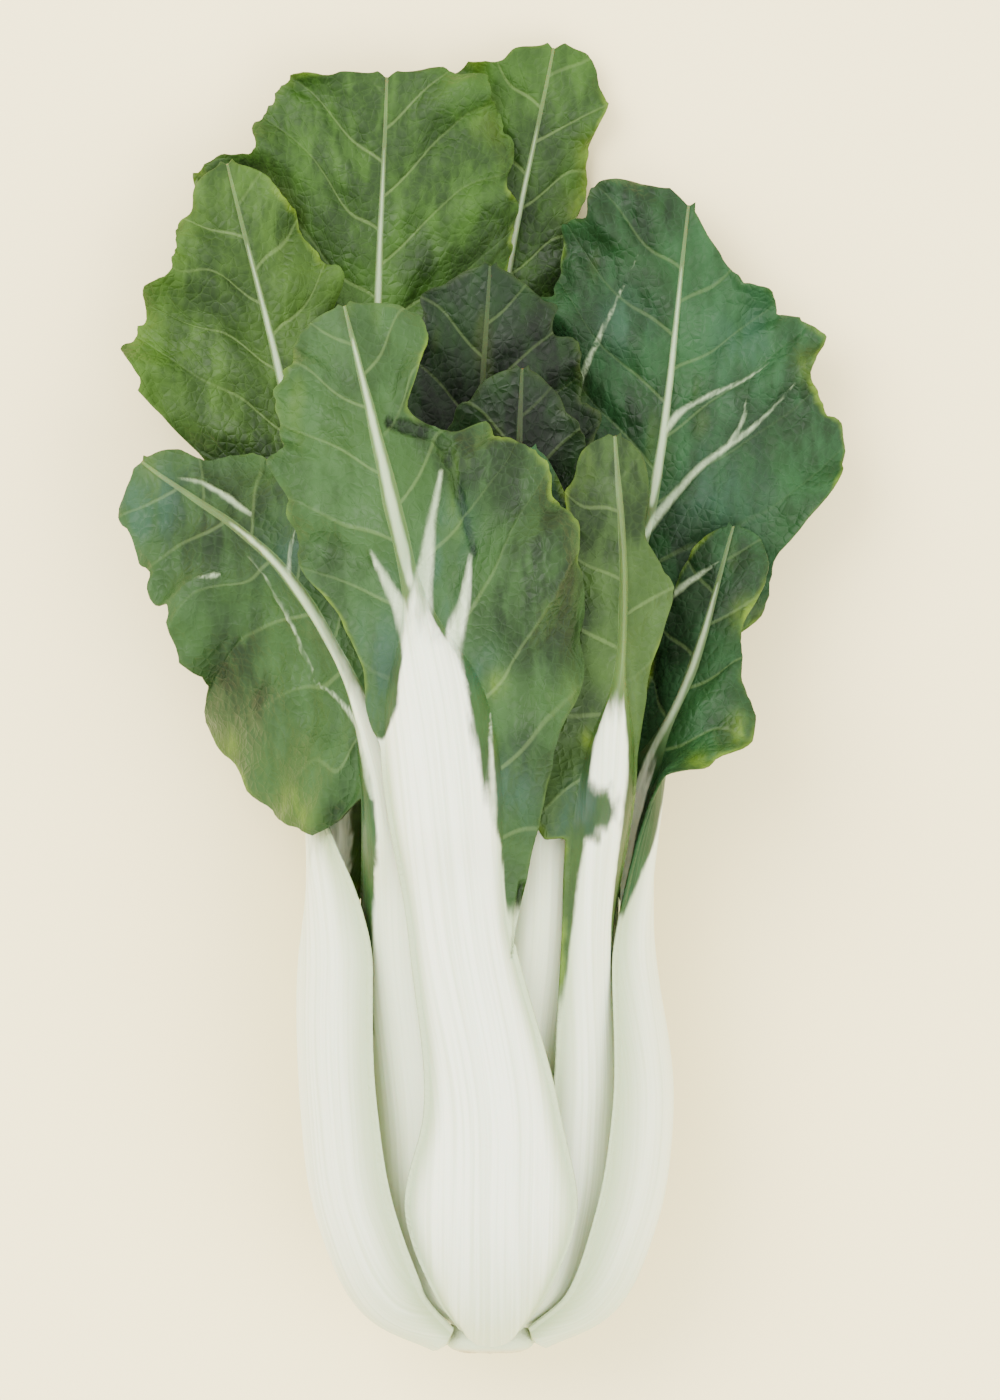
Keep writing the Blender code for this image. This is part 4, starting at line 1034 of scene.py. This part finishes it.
def vein_group():
    """Side veins, the small veins between them and the finest net, as masks and as one height."""
    nodes, given, made = new_group(
        "leaf_veins",
        {"Vein Count": "number", "Out": "number", "Margin": "number", "Even": "number", "Gap": "number",
         "Back": "number", "Where": "vector"},
        {"Side": "number", "Small": "number", "Net": "number", "Strong": "number", "Height": "number"},
    )
    m = nodes.maths
    where = given["Where"]
    broad = nodes.between(m("ADD", given["Out"], given["Margin"]), 4.0, 12.0)
    broad = m("MULTIPLY", broad, given["Even"])
    count = m("FRACT", m("ADD", given["Vein Count"], 0.5))
    off = m("MULTIPLY", m("ABSOLUTE", m("SUBTRACT", count, 0.5)), VEIN_PITCH)
    width = nodes.between(given["Out"], 0.0, 34.0, 0.2, 0.0)
    side = m("MULTIPLY", nodes.between(m("SUBTRACT", off, width), 0.0, 0.6, 1.0, 0.0), broad)
    leaning = m("DIVIDE", m("SUBTRACT", given["Out"], m("MULTIPLY", off, 0.9)), 5.4)
    wobble = m("MULTIPLY", m("SUBTRACT", nodes.noise(where, 60.0, 2.0), 0.5), 1.6)
    leaning = m("ADD", leaning, wobble)
    off_small = m("MULTIPLY", m("ABSOLUTE", m("SUBTRACT", m("FRACT", leaning), 0.5)), 5.4)
    small = m("MULTIPLY", nodes.between(off_small, 0.0, 0.5, 1.0, 0.0), nodes.between(given["Out"], 2, 6))
    small = m("MULTIPLY", small, broad)
    cells = nodes.add("ShaderNodeTexVoronoi", where, feature="DISTANCE_TO_EDGE")
    cells.inputs["Scale"].default_value = 430.0
    net = nodes.between(cells.outputs["Distance"], 0.0, 0.12, 1.0, 0.0)
    bed = nodes.between(cells.outputs["Distance"], 0.0, 0.5, 0.0, 1.0)
    strong = nodes.strong_line(given["Gap"], where, 1.0)
    depth = m("ADD", m("MULTIPLY", side, 0.4), m("MULTIPLY", small, 0.2))
    depth = m("ADD", depth, m("MULTIPLY", net, 0.08))
    depth = m("SUBTRACT", m("ADD", depth, m("MULTIPLY", strong, 0.5)), m("MULTIPLY", bed, 0.22))
    way = m("SUBTRACT", m("MULTIPLY", given["Back"], 2.0), 1.0)
    for label, value in (("Side", side), ("Small", small), ("Net", net), ("Strong", strong)):
        nodes.feed(made[label], value)
    nodes.feed(made["Height"], m("MULTIPLY", depth, way))
    return nodes.tree


def green_group():
    """The green of a blade: mottled between two greens, greyer on its back, with soft tints, the dark one
    partly painted shade.
    """
    nodes, given, made = new_group(
        "leaf_green",
        {"Green": "colour", "Dark": "colour", "Pale": "colour", "Back": "number", "Tint": "vector",
         "Where": "vector"},
        {"Colour": "colour"},
    )
    m = nodes.maths
    where = given["Where"]
    clouds = nodes.between(nodes.noise(where, 26.0, 4.0, 0.6), 0.38, 0.62)
    colour = nodes.mix(clouds, given["Green"], given["Dark"])
    long_way = nodes.lengthwise(where, 150.0, 48.0, 90.0)
    streaks = nodes.between(nodes.noise(long_way, 1.0, 3.0, 0.6), 0.42, 0.66)
    colour = nodes.mix(m("MULTIPLY", streaks, 0.55), colour, given["Pale"])
    shadows = nodes.between(nodes.noise(long_way, 0.55, 3.0, 0.6), 0.5, 0.72)
    colour = nodes.mix(m("MULTIPLY", shadows, 0.5), colour, given["Dark"])
    fine = nodes.between(nodes.noise(where, 260.0, 4.0, 0.7), 0.4, 0.72)
    colour = nodes.mix(m("MULTIPLY", fine, 0.2), colour, given["Pale"])
    colour = nodes.mix(m("MULTIPLY", given["Back"], 0.22), colour, given["Pale"])
    fresh = nodes.between(nodes.noise(long_way, 0.4, 2.0), 0.6, 0.72)
    colour = nodes.mix(m("MULTIPLY", fresh, 0.12), colour, paint(MARGIN))
    dark, yellow, blue = nodes.add("ShaderNodeSeparateXYZ", given["Tint"]).outputs
    uneven = nodes.between(nodes.noise(long_way, 1.3, 3.0), 0.38, 0.62, 0.25, 1.0)
    paler = m("MULTIPLY", m("MAXIMUM", m("MULTIPLY", dark, -0.7), 0.0), uneven)
    colour = nodes.mix(paler, colour, given["Pale"])
    # Dark tints: partly painted shade, where leaves lie under others, in the heart and in the creases, and
    # partly darker patches of the green.
    darker = m("MULTIPLY", m("MAXIMUM", dark, 0.0), uneven)
    colour = nodes.mix(darker, colour, given["Dark"])
    colour = nodes.mix(m("MULTIPLY", darker, 0.42), colour, paint(DARKEST))
    colour = nodes.mix(m("MULTIPLY", m("MULTIPLY", yellow, 0.5), uneven), colour, paint(MARGIN))
    colour = nodes.mix(m("MULTIPLY", m("MULTIPLY", blue, 0.75), uneven), colour, paint(BLUE_GREEN))
    nodes.feed(made["Colour"], colour)
    return nodes.tree


def white_group():
    """The stalk's white: greener in fine streaks along it and towards its thin edges."""
    nodes, given, made = new_group(
        "stalk_streaks",
        {"Along": "number", "Across": "number", "Edge": "number", "Shade": "number"},
        {"Colour": "colour", "Height": "number"},
    )
    m = nodes.maths
    along = m("MULTIPLY", given["Along"], 0.012)
    drawn_out = nodes.add("ShaderNodeCombineXYZ", along, given["Across"], 0.0).outputs[0]
    streaks = nodes.noise(drawn_out, 0.9, 4.0, 0.6)
    broad = nodes.noise(drawn_out, 0.22, 2.0)
    # Painted shade on stalks that lie in shadow, greying and greening the whole white; partly also the
    # stalk's own greener tone.
    colour = nodes.mix(m("MULTIPLY", given["Shade"], 0.8), paint(WHITE), paint(SHADE))
    colour = nodes.mix(nodes.between(streaks, 0.42, 0.68, 0.0, 0.55), colour, paint(SHADE))
    colour = nodes.mix(nodes.between(broad, 0.5, 0.75, 0.0, 0.5), colour, paint(SHADE))
    # Painted shade: the stalk greyer and greener towards the root.
    root = nodes.between(given["Along"], 4.0, 48.0, 0.85, 0.0)
    root = m("MULTIPLY", root, nodes.between(streaks, 0.3, 0.6, 0.6, 1.0))
    colour = nodes.mix(root, colour, paint(SHADE))
    colour = nodes.mix(m("MULTIPLY", root, 0.3), colour, paint(EDGE))
    # The thin edges: partly their greener colour, partly painted shade.
    colour = nodes.mix(m("MULTIPLY", given["Edge"], 0.8), colour, paint(EDGE))
    nodes.feed(made["Colour"], colour)
    nodes.feed(made["Height"], m("MULTIPLY", streaks, 0.35))
    return nodes.tree


def plain_shader(name, roughness):
    material = bpy.data.materials.new(name)
    material.use_nodes = True
    shader = material.node_tree.nodes["Principled BSDF"]
    shader.inputs["Roughness"].default_value = roughness
    shader.inputs["Specular IOR Level"].default_value = 0.16
    return material, Nodes(material.node_tree), shader


def raise_bumps(nodes, shader, height, distance):
    bump = nodes.add("ShaderNodeBump")
    bump.inputs["Strength"].default_value = 1.0
    bump.inputs["Distance"].default_value = distance
    nodes.feed(bump.inputs["Height"], height)
    nodes.feed(shader.inputs["Normal"], bump.outputs[0])


def leaf_materials(tone, groups):
    """The blade's green skin and the stalk's white one, for one tone of leaf."""
    veins_tree, green_tree, white_tree = groups
    green, dark, pale = [paint(code) for code in TONES[tone]]

    material, nodes, shader = plain_shader("blade_green_" + tone, 0.5)
    m = nodes.maths
    where = nodes.add("ShaderNodeTexCoord").outputs["Object"]
    count, out, margin = nodes.parts("place")
    greenness, back, gap = nodes.parts("zone")
    tint = nodes.add("ShaderNodeAttribute", attribute_name="tint").outputs["Vector"]
    even, edge, shade = nodes.parts("form")
    veins = nodes.group(
        veins_tree, vein_count=count, out=out, margin=margin, even=even, gap=gap, back=back, where=where
    )
    colour = nodes.group(
        green_tree, green=green, dark=dark, pale=pale, back=back, tint=tint, where=where
    )["Colour"]
    colour = nodes.mix(m("MULTIPLY", veins["Net"], 0.1), colour, pale)
    colour = nodes.mix(m("MULTIPLY", veins["Small"], 0.2), colour, pale)
    near_rib = nodes.between(out, 0.0, 26.0, 0.34, 0.06)
    colour = nodes.mix(m("MULTIPLY", veins["Side"], near_rib), colour, paint(PALE_VEIN))
    fray = m("ADD", margin, m("MULTIPLY", nodes.noise(where, 90.0), 5.0))
    most = 0.12 if tone == "shaded_heart" else 0.55
    patchy = nodes.between(nodes.noise(where, 28.0, 2.0), 0.48, 0.62, 0.05, most)
    edging = m("MULTIPLY", nodes.between(fray, 1.6, 3.8, 1.0, 0.0), patchy)
    colour = nodes.mix(edging, colour, paint(MARGIN))
    along = m("MULTIPLY", count, VEIN_PITCH)
    white = nodes.group(white_tree, along=along, across=out, edge=edge, shade=shade)["Colour"]
    colour = nodes.mix(nodes.cover(greenness, where), white, colour)
    colour = nodes.mix(m("MULTIPLY", veins["Strong"], 0.6), colour, paint(STRONG_VEIN))
    nodes.feed(shader.inputs["Base Color"], colour)
    nodes.feed(shader.inputs["Roughness"], nodes.between(nodes.noise(where, 90.0), 0.3, 0.7, 0.4, 0.62))
    raise_bumps(nodes, shader, veins["Height"], 0.0007)
    blade = material

    material, nodes, shader = plain_shader("stalk_white_" + tone, 0.38)
    shader.inputs["Subsurface Weight"].default_value = 0.2
    shader.inputs["Subsurface Scale"].default_value = 0.004
    where = nodes.add("ShaderNodeTexCoord").outputs["Object"]
    along, across, _ = nodes.parts("place")
    greenness, back, gap = nodes.parts("zone")
    tint = nodes.add("ShaderNodeAttribute", attribute_name="tint").outputs["Vector"]
    midrib, edge, shade = nodes.parts("form")
    white = nodes.group(white_tree, along=along, across=across, edge=edge, shade=shade)
    colour = nodes.group(
        green_tree, green=green, dark=dark, pale=pale, back=back, tint=tint, where=where
    )["Colour"]
    m = nodes.maths
    paleness = m("MULTIPLY", midrib, 0.08 if tone == "shaded_heart" else 0.22)
    colour = nodes.mix(paleness, colour, paint(PALE_VEIN))
    colour = nodes.mix(nodes.cover(greenness, where), white["Colour"], colour)
    strong = nodes.strong_line(gap, where, 0.7)
    colour = nodes.mix(m("MULTIPLY", strong, greenness), colour, paint(STRONG_VEIN))
    nodes.feed(shader.inputs["Base Color"], colour)
    nodes.feed(shader.inputs["Roughness"], nodes.between(nodes.noise(where, 60.0), 0.3, 0.7, 0.32, 0.5))
    raise_bumps(nodes, shader, white["Height"], 0.0006)
    return blade, material


def cut_material():
    """The core: white like the stalks, and fibrous and browned where it was cut."""
    material, nodes, shader = plain_shader("cut_butt_fibres", 0.7)
    where = nodes.add("ShaderNodeTexCoord").outputs["Object"]
    height = nodes.add("ShaderNodeSeparateXYZ", where).outputs[1]
    fibres = nodes.noise(where, 700.0, 4.0, 0.7)
    stains = nodes.noise(where, 110.0, 3.0)
    colour = nodes.mix(nodes.between(fibres, 0.35, 0.7), paint(CUT), paint(CUT_FIBRE))
    colour = nodes.mix(nodes.between(stains, 0.5, 0.72, 0.0, 0.6), colour, paint(CUT_STAIN))
    side = nodes.between(height, (BUTT_Y + 0.1) * MM, (BUTT_Y + 1.6) * MM)
    colour = nodes.mix(side, colour, paint(SHADE))
    nodes.feed(shader.inputs["Base Color"], colour)
    raise_bumps(nodes, shader, fibres, 0.0005)
    return material


def build_core(material):
    """The short stem that the leaves grow from, cut across at the butt, with a shrunken middle."""
    turns = 72
    cut_radius = core_radius(BUTT_Y) - CORE_ROUNDING[0]
    face = [(0.0, 0.9), (0.3, 0.75), (0.55, 0.45), (0.8, 0.12), (0.97, 0.0)]
    levels = [(BUTT_Y + sink, share * cut_radius) for share, sink in face[1:]]
    foot = ([0, 0.25, 0.9, 2.5, 6.5], [CORE_ROUNDING[0], 5.2, *CORE_ROUNDING[1:], 0.0])
    for y in np.linspace(BUTT_Y + 0.2, CORE_TOP_Y, 30):
        levels.append((y, core_radius(y) - through(np.array(y - BUTT_Y), *foot)))
    angle = np.linspace(0, 2 * np.pi, turns, endpoint=False)
    rings = []
    for k, (y, r) in enumerate(levels):
        lobes = 1 + 0.012 * np.sin(7 * angle + 0.6) + 0.008 * np.sin(13 * angle + k * 0.2)
        grain = 0.12 * lumps(angle * 9, 0 * angle + k * 0.7, 21)
        rings.append(np.stack([r * lobes * np.cos(angle), y + grain, r * lobes * np.sin(angle)], -1))
    rings = np.array(rings)
    rings[..., 2] += AXIS_HEIGHT
    rings = sagged(rings)
    count = len(levels)
    centres = np.array([[0, BUTT_Y + face[0][1], AXIS_HEIGHT], [0, CORE_TOP_Y, AXIS_HEIGHT]])
    vertices = np.concatenate([rings.reshape(-1, 3), centres])
    faces = []
    for k in range(count - 1):
        for j in range(turns):
            a, b = k * turns + j, k * turns + (j + 1) % turns
            faces.append((a, b, b + turns, a + turns))
    last = (count - 1) * turns
    for j in range(turns):
        after = (j + 1) % turns
        faces.append((after, j, count * turns))
        faces.append((last + j, last + after, count * turns + 1))
    mesh = bpy.data.meshes.new("core_stem")
    mesh.from_pydata((vertices * MM).tolist(), [], faces)
    mesh.update()
    mesh.shade_smooth()
    mesh.materials.append(material)
    piece = bpy.data.objects.new("core_stem", mesh)
    bpy.context.scene.collection.objects.link(piece)
    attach(piece, "root")
    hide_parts("core")


# Camera, light and floor


def place_camera():
    data = bpy.data.cameras.new("camera")
    data.sensor_width = SENSOR
    data.lens = SENSOR * VIEW_DISTANCE / VIEW_HEIGHT
    data.clip_start, data.clip_end = 0.1, 50
    camera = bpy.data.objects.new("camera", data)
    camera.location = VIEW_CENTRE + Vector((0, 0, VIEW_DISTANCE))
    bpy.context.scene.collection.objects.link(camera)
    bpy.context.scene.camera = camera


def place_light(name, spot, size, watts, colour):
    data = bpy.data.lights.new(name, "AREA")
    data.shape, data.size, data.energy, data.color = "DISK", size, watts, colour
    light = bpy.data.objects.new(name, data)
    light.location = spot
    light.rotation_mode = "QUATERNION"
    light.rotation_quaternion = (VIEW_CENTRE - Vector(spot)).to_track_quat("-Z", "Y")
    bpy.context.scene.collection.objects.link(light)


def place_floor():
    mesh = bpy.data.meshes.new("floor")
    reach = 6.0
    corners = [(-reach, -reach), (reach, -reach), (reach, reach), (-reach, reach)]
    mesh.from_pydata([(x, y, -0.0003) for x, y in corners], [], [(0, 1, 2, 3)])
    material, _, shader = plain_shader("floor_cream", 0.9)
    shader.inputs["Base Color"].default_value = paint(FLOOR)
    mesh.materials.append(material)
    floor = bpy.data.objects.new("floor", mesh)
    bpy.context.scene.collection.objects.link(floor)


def place_world():
    world = bpy.data.worlds.new("soft_room")
    world.use_nodes = True
    background = world.node_tree.nodes["Background"]
    background.inputs["Color"].default_value = ROOM_LIGHT
    background.inputs["Strength"].default_value = 3.1
    bpy.context.scene.world = world


def main():
    place_camera()
    place_floor()
    place_world()
    place_light("key", (-1.2, 1.0, 2.2), 1.9, 95, KEY_LIGHT)
    place_light("fill", (1.4, -0.9, 1.9), 1.8, 50, FILL_LIGHT)
    groups = (vein_group(), green_group(), white_group())
    materials = {tone: leaf_materials(tone, groups) for tone in TONES}
    build_core(cut_material())
    pile = Pile()
    for leaf in LEAVES:
        build_leaf(leaf, pile, materials)


main()
